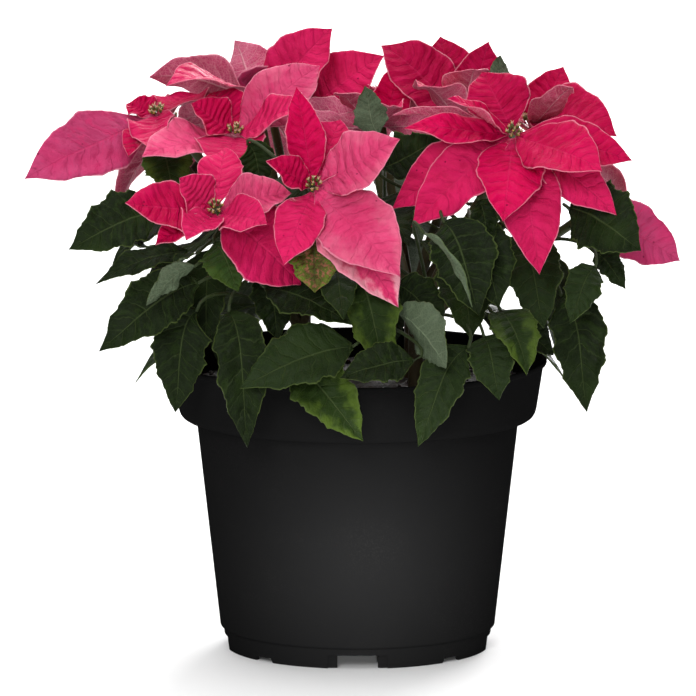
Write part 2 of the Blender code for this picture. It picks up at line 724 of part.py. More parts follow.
def fill_bracts(bloom, draw):
    """The bracts of the bloom's far side, spread where no listed bract stands."""
    heart = Vector(bloom.heart)
    face = Vector(bloom.face).normalized()
    first = square_to(Vector((0, 0.2, 1)), face)
    second = face.cross(first)
    taken = []
    for blade in bloom.bracts:
        out = Vector(blade.tip) - heart
        taken.append(math.atan2(out.dot(second), out.dot(first)))
    made = []
    for index in range(bloom.fill * 3):
        angle = index * math.radians(FILL_TURN) + draw.uniform(-0.15, 0.15)
        gap = min((abs((angle - other + math.pi) % math.tau - math.pi) for other in taken), default=math.pi)
        out = first * math.cos(angle) + second * math.sin(angle)
        if gap < math.radians(FILL_GAP) or (bloom.bracts and out.y < 0.1):
            continue
        length = draw.uniform(*FILL_LENGTH)
        lean = math.radians(draw.uniform(*FILL_DROOP))
        tip = heart + (out * math.cos(lean) + face * math.sin(lean)) * length
        if not is_inside_dome(tip):
            continue
        width = length * draw.uniform(*FILL_WIDTH)
        taken.append(angle)
        made.append(Blade(tuple(tip), width, rise=16, arch=0.1, fold=draw.uniform(*FILL_FOLD), wave=2))
        if len(made) == bloom.fill:
            break
    return made


def ring_leaves():
    """The leaves round the plant's sides and back, ring by ring, each on the nearest plant."""
    draw = random.Random(SEED + 1)
    made = []
    for height, reach, length, count, front in LEAF_RINGS:
        for index in range(count):
            span = math.pi - 2 * math.radians(front)
            angle = math.radians(front) + span * (index + draw.uniform(0.2, 0.8)) / count
            out = Vector((math.cos(angle), math.sin(angle) * RING_DEPTH, 0))
            far = reach + draw.uniform(-RING_SWAY, RING_SWAY)
            z = height + draw.uniform(-RING_LIFT, RING_LIFT)
            droop = draw.uniform(*RING_DROOP) + (LEAF_RINGS[0][0] - height) * LOW_DROOP
            root = out * (far - length * 0.5) + UP * z
            tip = root + (out * math.cos(droop) - UP * math.sin(droop)) * length
            plant = ("back_" if root.y > 0 else "front_") + ("right" if root.x > 0 else "left")
            side = draw.uniform(-0.5, 0.5)
            face = UP * 0.8 + out * 0.8 + Vector((-out.y, out.x, 0)) * side
            width = length * draw.uniform(*RING_WIDTH)
            blade = Blade(tuple(tip), width, tuple(face), rise=10, arch=0.14, fold=14, wave=1.8)
            made.append(Leaf(plant, tuple(root), blade))
    return made


def stem_paths():
    """Each plant's branches by bloom name, as cubic curves from the fork to under the bloom."""
    paths = {}
    for bloom in BLOOMS:
        (x, y), fork = PLANTS[bloom.plant]
        face = Vector(bloom.face).normalized()
        end = mm(bloom.heart) + face * ((CORE_LOW - CLEAR) * MM)
        flat = end - mm((x, y, 0))
        flat.z = 0
        start = mm((x, y, fork - 5)) + flat.normalized() * MM
        rise = (end - start).z
        first = start + flat * 0.22 + UP * rise * 0.45
        second = end - face * (rise * 0.36)
        paths[bloom.name] = (start, first, second, end)
    return paths


def core_mesh(heart, face, low, high, radius, sides):
    """The pad that a bloom's bracts grow from, or a cyathia cluster's disc."""
    turn = UP.rotation_difference(face).to_matrix().to_4x4()
    centre = heart + face * ((low + high) / 2 * MM)
    bm = bmesh.new()
    bmesh.ops.create_cone(
        bm, cap_ends=True, segments=sides, radius1=radius * 0.8 * MM, radius2=radius * MM,
        depth=(high - low) * MM, matrix=Matrix.Translation(centre) @ turn,
    )
    return bm


def build_cyathia(bloom, heart, face, clearance, material):
    """The cluster of small cups in the bloom's middle, raised from one disc."""
    name = "cyathia_" + bloom.name
    low = CORE_HIGH + CLEAR
    bm = core_mesh(heart, face, low, low + CYATHIA_DISC, CYATHIA_RADIUS, CYATHIA_CUPS)
    top = max(bm.faces, key=lambda item: item.calc_center_median().dot(face))
    cups = bmesh.ops.poke(bm, faces=[top], offset=MM)["faces"]
    bmesh.ops.inset_individual(bm, faces=cups, thickness=CYATHIA_INSET * MM)
    raised = bmesh.ops.extrude_discrete_faces(bm, faces=cups)["faces"]
    for index, cup in enumerate(raised):
        middle = cup.calc_center_median()
        lean = (middle - heart).normalized()
        rise = (CYATHIA_CUP + CYATHIA_STAGGER * (index % 2)) * MM
        for vert in cup.verts:
            vert.co = middle + (vert.co - middle) * CYATHIA_SPREAD + lean * rise
    clearance.add(name, bm)
    return add_object(name, bm, material)


def shell_of(thing):
    """A bmesh of an object's surface."""
    bm = bmesh.new()
    bm.from_mesh(thing.data)
    return bm


def build_stems(paths, clearance, material):
    """Each plant's stem and its branches, as loose pieces by plant name."""
    stems = {}
    for plant, (place, fork) in PLANTS.items():
        low = mm((*place, SOIL_TOP - HOLE_DEPTH + 2 * CLEAR))
        high = mm((*place, fork))
        span = high - low
        trunk = tube((low, low + span / 3, low + span * 2 / 3, high), (STEM_RADIUS,) * 2, STEM_SIDES)
        clearance.add("stem_" + plant, trunk)
        stems[plant] = [add_object("stem_" + plant, trunk, material)]
    taper = (BRANCH_END_RADIUS - BRANCH_RADIUS) / BRANCH_STEPS
    radii = [BRANCH_RADIUS + taper * step for step in range(BRANCH_STEPS + 1)]
    for bloom in BLOOMS:
        branch = tube(paths[bloom.name], radii, BRANCH_SIDES)
        clearance.add("stem_" + bloom.plant, branch)
        stems[bloom.plant].append(add_object("branch", branch))
    return stems


def build_hearts(clearance, crimson, yellow):
    """Each bloom's pad and its cyathia, with the pads as the first pieces of the blooms."""
    blooms = {}
    for bloom in BLOOMS:
        heart = mm(bloom.heart)
        face = Vector(bloom.face).normalized()
        build_cyathia(bloom, heart, face, clearance, yellow)
        core = core_mesh(heart, face, CORE_LOW, CORE_HIGH, CORE_RADIUS, CORE_SIDES)
        clearance.add("bloom_" + bloom.name, core)
        blooms[bloom.name] = [add_object("bloom_" + bloom.name, core, crimson)]
    return blooms


def place_bracts(blooms, clearance):
    """Adds every bract to its bloom, the listed ones first and then the far side's."""
    draw = random.Random(SEED + 2)
    sets = [(bloom, blade, BRACT_OUTLINE) for bloom in BLOOMS for blade in bloom.bracts]
    sets += [(bloom, blade, PLAIN_BRACT) for bloom in BLOOMS for blade in fill_bracts(bloom, draw)]
    for index, (bloom, blade, outline) in enumerate(sets):
        face = Vector(bloom.face).normalized()
        owner = "bloom_" + bloom.name
        roots = bract_roots(mm(bloom.heart), face, blade.tip, index % len(LAYERS))
        limit = is_inside_dome if outline is PLAIN_BRACT else None
        phase = index * GOLDEN % 1
        stations = settle(blade, roots, face, outline, phase, clearance, {owner}, limit)
        if stations is None:
            continue
        outer = sheet(stations[1:])
        clearance.add("outer_" + owner, outer)
        outer.free()
        bract = sheet(stations)
        clearance.add(owner, bract)
        blooms[bloom.name].append(add_object("bract", bract))


def place_leaves(stems, paths, clearance):
    """Adds every leaf with its petiole to its stem, the listed ones first and then the rings."""
    listed = [(leaf, LEAF_OUTLINE) for leaf in LEAVES]
    listed += [(leaf, PLAIN_LEAF) for leaf in ring_leaves()]
    for index, (leaf, outline) in enumerate(listed):
        owner = "stem_" + leaf.plant
        root = mm(leaf.root)
        names = [bloom.name for bloom in BLOOMS if bloom.plant == leaf.plant]
        spots = [bezier(paths[name], step / 20)[0] for name in names for step in range(1, 19)]
        spots.sort(key=lambda spot: (spot - (root - UP * PETIOLE_DROP * MM)).length)
        limit = is_inside_dome if outline is PLAIN_LEAF else None
        phase = index * GOLDEN % 1
        stations = settle(leaf.blade, (root,), UP, outline, phase, clearance, {owner}, limit, spots[:32:4])
        if stations is None:
            continue
        blade = sheet(stations)
        clearance.add("leaf_" + owner, blade)
        stems[leaf.plant].append(add_object("leaf", blade))


def build():
    """Builds the whole object, piece by piece."""
    clear_scene()
    black = principled("pot_plastic", (0.014, 0.014, 0.015), 0.42)
    peat = principled("peat", (0.022, 0.014, 0.010), 0.95)
    green = principled("leaf_green", (0.018, 0.045, 0.020), 0.45)
    crimson = principled("bract_crimson", (0.60, 0.012, 0.075), 0.50)
    yellow = principled("cyathia_yellow_green", (0.33, 0.30, 0.05), 0.50)

    clearance = Clearance()
    holder = [build_pot(black), build_soil(peat, [place for place, fork in PLANTS.values()])]
    for thing in holder:
        shell = shell_of(thing)
        clearance.add(thing.name, shell)
        shell.free()

    paths = stem_paths()
    stems = build_stems(paths, clearance, green)
    blooms = build_hearts(clearance, crimson, yellow)
    place_bracts(blooms, clearance)
    place_leaves(stems, paths, clearance)
    for pieces in [*stems.values(), *blooms.values()]:
        boolean(pieces[0], "UNION", pieces[1:])


build()
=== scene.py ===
"""The looks of a bushy pot-grown poinsettia: its bracts, leaves, flowers, stems, peat and pot.

Places and sizes are in millimetres and angles in degrees. Meshes are in metres.
"""

import itertools
import logging
import math
import random
from collections.abc import Callable, Iterable, Sequence
from dataclasses import dataclass, field, replace
from enum import Enum

import bmesh
import bpy
from bmesh.types import BMesh, BMFace, BMVert
from bpy.types import Material, Mesh, NodeSocket, Object
from mathutils import Matrix, Vector, noise
from mathutils.kdtree import KDTree


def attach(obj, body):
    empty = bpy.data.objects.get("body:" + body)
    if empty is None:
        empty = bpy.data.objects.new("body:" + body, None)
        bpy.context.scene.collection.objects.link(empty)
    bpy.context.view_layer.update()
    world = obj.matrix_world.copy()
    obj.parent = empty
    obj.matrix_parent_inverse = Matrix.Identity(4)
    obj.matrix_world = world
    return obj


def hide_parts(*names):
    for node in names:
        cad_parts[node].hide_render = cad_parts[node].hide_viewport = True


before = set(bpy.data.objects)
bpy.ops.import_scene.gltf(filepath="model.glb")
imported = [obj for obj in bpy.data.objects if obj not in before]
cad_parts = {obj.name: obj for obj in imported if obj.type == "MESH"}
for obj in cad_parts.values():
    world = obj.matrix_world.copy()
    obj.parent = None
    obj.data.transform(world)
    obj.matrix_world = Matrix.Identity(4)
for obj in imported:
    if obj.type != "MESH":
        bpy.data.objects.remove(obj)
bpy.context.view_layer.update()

LOG = logging.getLogger("poinsettia")
MM = 0.001
UP = Vector((0, 0, 1))
BODY = "root"
SEED = 21
GOLDEN = 0.618

Place = tuple[float, float, float]
Path = tuple[Vector, Vector, Vector, Vector]


class Slot(Enum):
    """The record's material slots."""

    POT = "pot_plastic"
    PEAT = "peat"
    LEAF = "leaf_green"
    BRACT = "bract_crimson"
    FLOWER = "cyathia_yellow_green"


class Tone(Enum):
    """The colours of blades and stems: red, green and blue, and how far the margin turns pale."""

    # Deep crimson: partly the bracts' own colour and partly painted shade for bracts in shade.
    SHADED_DEEP = (0.38, 0.002, 0.046, 0)
    CRIMSON = (0.50, 0.001, 0.060, 0)
    ROSE = (0.58, 0.013, 0.096, 0)
    # Pink: partly the bracts' own colour and partly a painted highlight for bracts that catch the light.
    LIT_PINK = (0.69, 0.070, 0.186, 0.15)
    PALE = (0.66, 0.050, 0.160, 0.95)
    MAGENTA = (0.51, 0.056, 0.162, 0)
    # Dusky mauve: partly the undersides' own colour and partly painted shade for bracts and undersides in
    # shade.
    SHADED_DUSK = (0.30, 0.035, 0.100, 0)
    MOTTLED = (0.082, 0.094, 0.018, 0.9)
    DARK = (0.0068, 0.0122, 0.0034, 0)
    MID = (0.016, 0.028, 0.009, 0)
    BRIGHT = (0.024, 0.050, 0.010, 0.15)
    LIMY = (0.015, 0.029, 0.006, 0.38)
    GREY = (0.075, 0.105, 0.062, 0)
    STEM = (0.042, 0.060, 0.015, 0)
    WOOD = (0.055, 0.041, 0.021, 0)
    PETIOLE = (0.030, 0.045, 0.014, 0)


@dataclass(frozen=True)
class Outline:
    """A blade's half outline as points of (share of its length, share of its half width)."""

    points: tuple[tuple[float, float], ...]
    root_ease: float = 0.6
    tip_ease: float = 0.75

    def slope(self, index: int) -> float:
        """The outline's slope at one of its points.

        Args:
            index: The point's number.

        Returns:
            The slope, eased at the root and the tip.
        """
        points = self.points
        low, high = max(0, index - 1), min(len(points) - 1, index + 1)
        secant = (points[high][1] - points[low][1]) / (points[high][0] - points[low][0])
        return secant * {0: self.root_ease, len(points) - 1: self.tip_ease}.get(index, 1)

    def width(self, share: float) -> float:
        """The width on a smooth line through the points.

        Args:
            share: Where along the blade, from 0 at its root to 1 at its tip.

        Returns:
            The share of the blade's half width there.
        """
        for index, ((x0, y0), (x1, y1)) in enumerate(itertools.pairwise(self.points)):
            if share <= x1:
                break
        span = x1 - x0
        u = min(1, (share - x0) / span)
        rise = y0 * (2 * u**3 - 3 * u * u + 1) + y1 * (3 * u * u - 2 * u**3)
        bend = self.slope(index) * (u**3 - 2 * u * u + u) + self.slope(index + 1) * (u**3 - u * u)
        return max(0, rise + bend * span)


LISTED_BRACT = Outline(((0, 0.09), (0.22, 0.72), (0.46, 1.0), (0.77, 0.64), (1, 0)))
PLAIN_BRACT = Outline(((0, 0.09), (0.34, 0.96), (0.70, 0.76), (1, 0)))
LISTED_LEAF = Outline(((0, 0.12), (0.17, 0.76), (0.42, 1.0), (0.74, 0.62), (1, 0)))
PLAIN_LEAF = Outline(((0, 0.12), (0.30, 0.96), (0.68, 0.70), (1, 0)))


@dataclass(frozen=True)
class Blade:
    """A bract or a leaf: where its tip is, how wide it is and which way its upper side looks."""

    tip: Place
    width: float
    face: Place | None = None
    rise: float = 12
    arch: float = 0.10
    fold: float = 14
    wave: float = 1.6
    tone: Tone | None = None


@dataclass(frozen=True)
class Bloom:
    """A whorl of bracts round its heart, where face is the way that it opens."""

    name: str
    plant: str
    heart: Place
    face: Place
    bracts: tuple[Blade, ...] = ()
    fill: int = 0
    tone: Tone = Tone.CRIMSON

    def way(self) -> Vector:
        """The way that it opens, as a unit vector."""
        return Vector(self.face).normalized()


@dataclass(frozen=True)
class Leaf:
    """A green leaf of one plant, from the place where its petiole ends."""

    plant: str
    root: Place
    blade: Blade


@dataclass(frozen=True)
class Ring:
    """A ring of leaves: its height and reach, its leaves' length and number, and where it starts."""

    height: float
    reach: float
    length: float
    count: int
    front: float


PLANTS: dict[str, tuple[tuple[float, float], float]] = {
    "front_left": ((-30, -26), 182),
    "front_right": ((32, -24), 184),
    "back_left": ((-30, 30), 188),
    "back_right": ((30, 32), 186),
}

TO_VIEWER = (0, -0.9, 0.45)
FROM_VIEWER = (0, 0.8, 0.4)

BLOOMS = (
    Bloom("front", "front_left", (-24, -88, 270), (0, -0.78, 0.62), (
        Blade((-40, -126, 233), 28, rise=24, arch=0.12, fold=8),
        Blade((23, -128, 227), 44, rise=20, fold=8, wave=1.2, tone=Tone.LIT_PINK),
        Blade((22, -108, 207), 40, rise=2, arch=0.06, fold=10, tone=Tone.PALE),
        Blade((23, -98, 298), 36, fold=12, wave=1.2, tone=Tone.LIT_PINK),
        Blade((-10, -70, 307), 33, fold=26, wave=2.4),
        Blade((1, -62, 305), 16, fold=30, wave=2.6),
        Blade((-33, -58, 304), 22, fold=10, tone=Tone.CRIMSON),
        Blade((-50, -98, 286), 22, rise=34, fold=30, wave=2.2, tone=Tone.CRIMSON),
    ), 3, Tone.ROSE),
    Bloom("low_left", "front_left", (-77, -98, 259), (-0.12, -0.76, 0.64), (
        Blade((-126, -118, 266), 33, rise=18, arch=-0.06, fold=10, wave=1.4, tone=Tone.CRIMSON),
        Blade((-97, -100, 277), 26, fold=18),
        Blade((-93, -128, 247), 25, rise=30, fold=24, wave=2.4),
        Blade((-110, -110, 244), 21, fold=30, tone=Tone.CRIMSON),
        Blade((-49, -124, 255), 28, rise=30, fold=20, wave=2.2),
        Blade((-40, -100, 274), 29, fold=26, tone=Tone.LIT_PINK),
        Blade((-31, -94, 217), 44, rise=14, fold=10),
    ), 3, Tone.ROSE),
    Bloom("right", "front_right", (85, -58, 295), (0.10, -0.76, 0.64), (
        Blade((79, -100, 253), 38, rise=26, arch=0.14, fold=8),
        Blade((99, -94, 223), 38, rise=22, arch=0.08, fold=12, tone=Tone.ROSE),
        Blade((133, -96, 280), 40, rise=22, arch=0.12, fold=8, wave=1.2),
        Blade((150, -62, 281), 33, fold=12),
        Blade((143, -76, 259), 32, rise=2, fold=12, tone=Tone.ROSE),
        Blade((68, -36, 326), 38, face=(0.1, -0.9, 0.3), fold=18, wave=2.4, tone=Tone.SHADED_DEEP),
        Blade((29, -50, 323), 18, face=(0.3, 0.5, 0.8), fold=38, wave=2.0),
        Blade((44, -78, 307), 19, face=(0.2, -0.3, 0.9), fold=26),
        Blade((23, -72, 291), 20, rise=6, wave=2.2),
        Blade((31, -94, 258), 34, rise=22, wave=2.6, tone=Tone.ROSE),
        Blade((17, -68, 260), 34, rise=0, fold=12, tone=Tone.ROSE),
    ), 3, Tone.CRIMSON),
    Bloom("upper_left", "front_left", (-67, -25, 290), (-0.05, -0.48, 0.86), (
        Blade((-29, -45, 309), 35, fold=12),
        Blade((-118, -62, 283), 38, rise=16, fold=10, tone=Tone.LIT_PINK),
        Blade((-74, -72, 277), 40, rise=28, arch=0.16),
        Blade((-79, 10, 309), 31, face=(0, -0.8, 0.5), fold=12, tone=Tone.CRIMSON),
        Blade((-93, -22, 304), 31, fold=16, tone=Tone.CRIMSON),
        Blade((-21, 5, 319), 38, face=(0, -0.7, 0.7), fold=10, tone=Tone.LIT_PINK),
    ), 2, Tone.ROSE),
    Bloom("far_left", "front_left", (-110, 0, 297), (-0.25, -0.36, 0.90), (
        Blade((-183, -36, 267), 41, face=(-0.1, -0.85, 0.5), rise=0, arch=0.05, fold=6, wave=1.0,
              tone=Tone.MAGENTA),
        Blade((-126, -34, 279), 22, fold=16),
        Blade((-128, 8, 302), 23, fold=20),
        Blade((-113, -46, 284), 28, rise=24, fold=20, wave=2.2, tone=Tone.ROSE),
    ), 4, Tone.CRIMSON),
    Bloom("top_left", "back_left", (-55, 42, 301), (-0.10, -0.06, 0.97), (
        Blade((-110, -28, 296), 32, face=(-0.3, -0.7, 0.6), rise=24, arch=0.20, fold=12, tone=Tone.ROSE),
        Blade((-77, 60, 331), 38, face=FROM_VIEWER, rise=4, fold=12, tone=Tone.SHADED_DUSK),
        Blade((-14, 56, 338), 34, face=(0, -0.85, 0.5), rise=16, tone=Tone.ROSE),
        Blade((-116, 46, 312), 36, face=(-0.2, 0.7, 0.5), rise=40, arch=0.23, fold=12, tone=Tone.SHADED_DUSK),
    ), 4, Tone.CRIMSON),
    Bloom("top_middle", "back_left", (-33, 72, 292), (0.0, 0.06, 0.97), (
        Blade((5, 54, 325), 36, face=(0, -0.8, 0.6), rise=22, wave=2.0, tone=Tone.ROSE),
    ), 6, Tone.SHADED_DEEP),
    Bloom("centre", "front_right", (10, 40, 286), (0.05, -0.08, 0.97), (
        Blade((-12, 4, 309), 26, rise=24, fold=16),
        Blade((25, 50, 320), 24, face=(0, -0.85, 0.5), fold=18),
        Blade((-30, -4, 297), 26, face=(0.2, 0.6, -0.3), fold=16, tone=Tone.SHADED_DUSK),
        Blade((-36, 18, 301), 26, face=(0.2, 0.6, -0.3), fold=16, tone=Tone.SHADED_DUSK),
        Blade((18, -8, 303), 26, rise=22, fold=18, wave=2.6, tone=Tone.ROSE),
        Blade((38, -2, 294), 18, face=(0.3, 0.6, -0.2), rise=14, fold=16, tone=Tone.SHADED_DUSK),
    ), 3, Tone.CRIMSON),
    Bloom("top_right", "back_right", (58, 28, 293), (0.05, -0.06, 0.97), (
        Blade((13, 44, 330), 38, face=(0, -0.7, 0.7), rise=34, arch=0.20, fold=12),
        Blade((33, -22, 316), 31, rise=30, arch=0.16, fold=18, wave=3.0, tone=Tone.CRIMSON),
        Blade((64, -24, 309), 30, rise=26, fold=20, wave=2.6, tone=Tone.CRIMSON),
        Blade((46, 52, 334), 36, face=(0, -0.7, 0.7), fold=16),
        Blade((73, 50, 327), 32, face=(0, -0.8, 0.5), fold=16),
    ), 4, Tone.SHADED_DEEP),
    Bloom("far_right", "back_right", (95, 52, 284), (0.18, 0.05, 0.97), (
        Blade((144, 30, 281), 42, face=(0.35, -0.7, 0.6), rise=75, arch=0.34, fold=12),
        Blade((118, 6, 295), 21, rise=10, fold=16),
        Blade((114, 62, 317), 30, face=(0, -0.8, 0.5), rise=10, fold=10),
    ), 4, Tone.SHADED_DEEP),
    Bloom("low_right", "front_right", (128, -24, 250), (0.60, -0.25, 0.75), (
        Blade((178, -14, 218), 34, face=(0.2, -0.9, 0.3), rise=6, arch=0.06, tone=Tone.MAGENTA),
    ), 5, Tone.ROSE),
    Bloom("back_left", "back_left", (-102, 60, 284), (-0.50, 0.48, 0.72), (), 5),
    Bloom("back_middle", "back_left", (-48, 92, 284), (-0.18, 0.64, 0.74), (), 6),
    Bloom("back_high", "back_right", (14, 84, 296), (0.05, 0.58, 0.80), (), 6),
    Bloom("back_right", "back_right", (70, 90, 280), (0.28, 0.64, 0.72), (), 5),
    Bloom("side_right", "back_right", (124, 50, 264), (0.62, 0.44, 0.64), (), 5),
)

LEAVES = (
    Leaf("front_left", (-109, -58, 252), Blade((-158, -70, 233), 32, face=TO_VIEWER)),
    Leaf("front_left", (-105, -66, 232), Blade((-137, -68, 235), 9, face=(0, 0, 1))),
    Leaf("front_left", (-93, -76, 233), Blade((-143, -84, 216), 17, face=(0, -0.6, 0.8), arch=0.14)),
    Leaf("front_left", (-88, -92, 234), Blade((-107, -102, 221), 9)),
    Leaf("front_left", (-87, -86, 217), Blade((-141, -104, 182), 32, face=TO_VIEWER)),
    Leaf("front_left", (-89, -98, 228), Blade((-117, -112, 210), 13, face=FROM_VIEWER)),
    Leaf("front_left", (-88, -84, 201), Blade((-100, -78, 144), 30, face=TO_VIEWER)),
    Leaf("front_left", (-70, -100, 203), Blade((-60, -116, 131), 29, face=TO_VIEWER, fold=18)),
    Leaf("front_left", (-3, -106, 185), Blade((-64, -124, 165), 36, face=(0, -0.8, 0.6))),
    Leaf("front_left", (-37, -108, 174), Blade((3, -124, 136), 32, face=TO_VIEWER, tone=Tone.LIMY)),
    Leaf("front_left", (-50, -84, 214), Blade((-3, -112, 198), 30, face=(0, -0.7, 0.7))),
    Leaf("front_right", (-4, -84, 226), Blade((15, -110, 174), 34, face=TO_VIEWER, fold=18,
                                              tone=Tone.LIMY)),
    Leaf("front_right", (22, -90, 201), Blade((48, -124, 176), 29, face=FROM_VIEWER)),
    Leaf("front_right", (60, -98, 183), Blade((33, -122, 138), 26, face=TO_VIEWER, tone=Tone.MID)),
    Leaf("front_right", (69, -92, 188), Blade((77, -112, 155), 26, face=TO_VIEWER, tone=Tone.MID)),
    Leaf("front_right", (78, -84, 201), Blade((92, -110, 170), 26, face=(0.2, -0.7, 0.7), arch=0.24,
                                              tone=Tone.LIMY)),
    Leaf("front_right", (80, -40, 188), Blade((108, -38, 169), 26, face=(0, -0.7, 0.7))),
    Leaf("front_right", (112, -44, 203), Blade((126, -54, 140), 30, face=TO_VIEWER)),
    Leaf("front_right", (130, -62, 222), Blade((116, -78, 193), 20, face=TO_VIEWER, tone=Tone.MID)),
    Leaf("front_right", (116, -58, 254), Blade((155, -68, 232), 40, face=TO_VIEWER)),
    Leaf("front_right", (130, -40, 227), Blade((147, -50, 208), 15, face=TO_VIEWER)),
    Leaf("front_right", (47, -92, 251), Blade((66, -112, 203), 36, face=TO_VIEWER)),
    Leaf("front_right", (63, -88, 246), Blade((77, -108, 208), 30, face=TO_VIEWER)),
    Leaf("front_right", (36, -112, 248), Blade((62, -126, 210), 10, face=(0.7, 0.3, 0.5), tone=Tone.GREY)),
    Leaf("front_right", (66, -84, 262), Blade((74, -108, 231), 20, face=TO_VIEWER)),
    Leaf("front_right", (120, 6, 276), Blade((156, 2, 259), 36, face=TO_VIEWER)),
    Leaf("front_left", (-108, -10, 280), Blade((-101, -30, 256), 28, face=TO_VIEWER, tone=Tone.LIMY)),
    Leaf("front_left", (-78, -94, 240), Blade((-64, -120, 219), 30, face=(-0.1, -0.7, 0.7), arch=0.18,
                                              fold=3, wave=0.6, tone=Tone.BRIGHT)),
    Leaf("front_left", (-25, -98, 245), Blade((-21, -122, 213), 41, face=(0.1, -0.8, 0.6), arch=0.12,
                                              tone=Tone.MOTTLED)),
    Leaf("front_left", (30, -116, 179), Blade((-10, -127, 171), 24, face=(0, -0.8, 0.6))),
    Leaf("front_right", (21, -88, 216), Blade((48, -94, 197), 26, face=TO_VIEWER)),
    Leaf("front_right", (12, -16, 289), Blade((4, -18, 316), 19, face=(0, 0.9, 0.3))),
    Leaf("back_right", (76, 2, 308), Blade((78, 4, 331), 12, face=(0, 0.9, 0.2))),
    Leaf("front_left", (-14, -62, 234), Blade((-8, -84, 186), 32, face=TO_VIEWER)),
    Leaf("front_left", (-52, -64, 220), Blade((-42, -80, 180), 28, face=TO_VIEWER)),
    Leaf("front_left", (-76, -62, 230), Blade((-84, -80, 184), 24, face=TO_VIEWER)),
    Leaf("front_right", (56, -58, 226), Blade((62, -84, 184), 32, face=TO_VIEWER)),
    Leaf("front_right", (112, -34, 246), Blade((124, -44, 208), 30, face=TO_VIEWER)),
    Leaf("front_right", (88, -44, 238), Blade((102, -62, 188), 32, face=TO_VIEWER)),
    Leaf("front_right", (14, -42, 274), Blade((46, -42, 290), 26, face=TO_VIEWER)),
    Leaf("front_left", (-60, -66, 290), Blade((-52, -70, 266), 20, face=TO_VIEWER)),
)


def mm(point: Sequence[float]) -> Vector:
    """A place in metres, from millimetres."""
    return Vector(point) * MM


def bezier(path: Path, share: float) -> tuple[Vector, Vector]:
    """A point on a cubic curve.

    Args:
        path: The curve's four control points.
        share: How far along it, from 0 to 1.

    Returns:
        The point and the curve's direction there.
    """
    a, b, c, d = path
    rest = 1 - share
    place = a * rest**3 + b * (3 * rest * rest * share) + c * (3 * rest * share * share) + d * share**3
    along = (b - a) * rest * rest + (c - b) * (2 * rest * share) + (d - c) * share * share
    return place, along.normalized()


def square_to(vector: Vector, along: Vector) -> Vector:
    """The unit part of a vector that is square to a direction.

    Args:
        vector: The vector.
        along: The direction, as a unit vector.

    Returns:
        The part, or any direction square to it where the vector has none.
    """
    part = vector - along * vector.dot(along)
    if part.length < 0.05:
        part = along.orthogonal()
    return part.normalized()


def wobble(x: float, y: float, z: float) -> float:
    """Soft noise about 0 at a place."""
    return noise.noise(Vector((x, y, z)))


def stood(place: Vector, along: Vector) -> Matrix:
    """The matrix that stands a form at a place, with its Z axis along a direction."""
    return Matrix.Translation(place) @ UP.rotation_difference(along).to_matrix().to_4x4()


def mesh_of(name: str, bm: BMesh) -> Mesh:
    """A named mesh of a bmesh, which is freed.

    Args:
        name: The mesh's name.
        bm: The bmesh, in metres.

    Returns:
        The mesh.
    """
    mesh = bpy.data.meshes.new(name)
    bm.to_mesh(mesh)
    bm.free()
    return mesh


def linked(name: str, data: bpy.types.ID) -> Object:
    """A new object of its data, in the scene.

    Args:
        name: The object's name.
        data: Its mesh, light or camera.

    Returns:
        The object.
    """
    thing = bpy.data.objects.new(name, data)
    bpy.context.scene.collection.objects.link(thing)
    return thing


def outward(bm: BMesh) -> None:
    """Turns every face of a closed mesh outward."""
    bmesh.ops.recalc_face_normals(bm, faces=bm.faces[:])


def turned(bm: BMesh, profile: Iterable[tuple[float, float]], steps: int) -> None:
    """Spins a profile full round Z.

    Args:
        bm: The mesh that it goes into.
        profile: The points of (radius, height), from the axis or to it.
        steps: How many faces there are round.
    """
    verts = [bm.verts.new(mm((radius, 0, z))) for radius, z in profile]
    edges = [bm.edges.new(pair) for pair in itertools.pairwise(verts)]
    bmesh.ops.spin(bm, geom=verts + edges, axis=UP, steps=steps, angle=math.tau, use_merge=True)


def paint(bm: BMesh, before: set[BMFace], index: int) -> None:
    """Gives the faces that weren't there before a material by its number."""
    for face in set(bm.faces) - before:
        face.material_index = index


def add_piece(name: str, bm: BMesh, materials: Iterable[Material],
              nodes: Iterable[str] = ()) -> Object:
    """Makes a finished piece of a bmesh, which rides on the body and stands for CAD nodes.

    Args:
        name: The piece's name.
        bm: Its mesh in metres, which is freed.
        materials: Its materials, in the order of its faces' indices.
        nodes: The CAD nodes that it stands for.

    Returns:
        The piece, at the origin.
    """
    mesh = mesh_of(name, bm)
    piece = linked(name, mesh)
    for material in materials:
        mesh.materials.append(material)
    mesh.shade_smooth()
    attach(piece, BODY)
    if nodes:
        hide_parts(*nodes)
    LOG.info("%s: %d faces", name, len(mesh.polygons))
    return piece


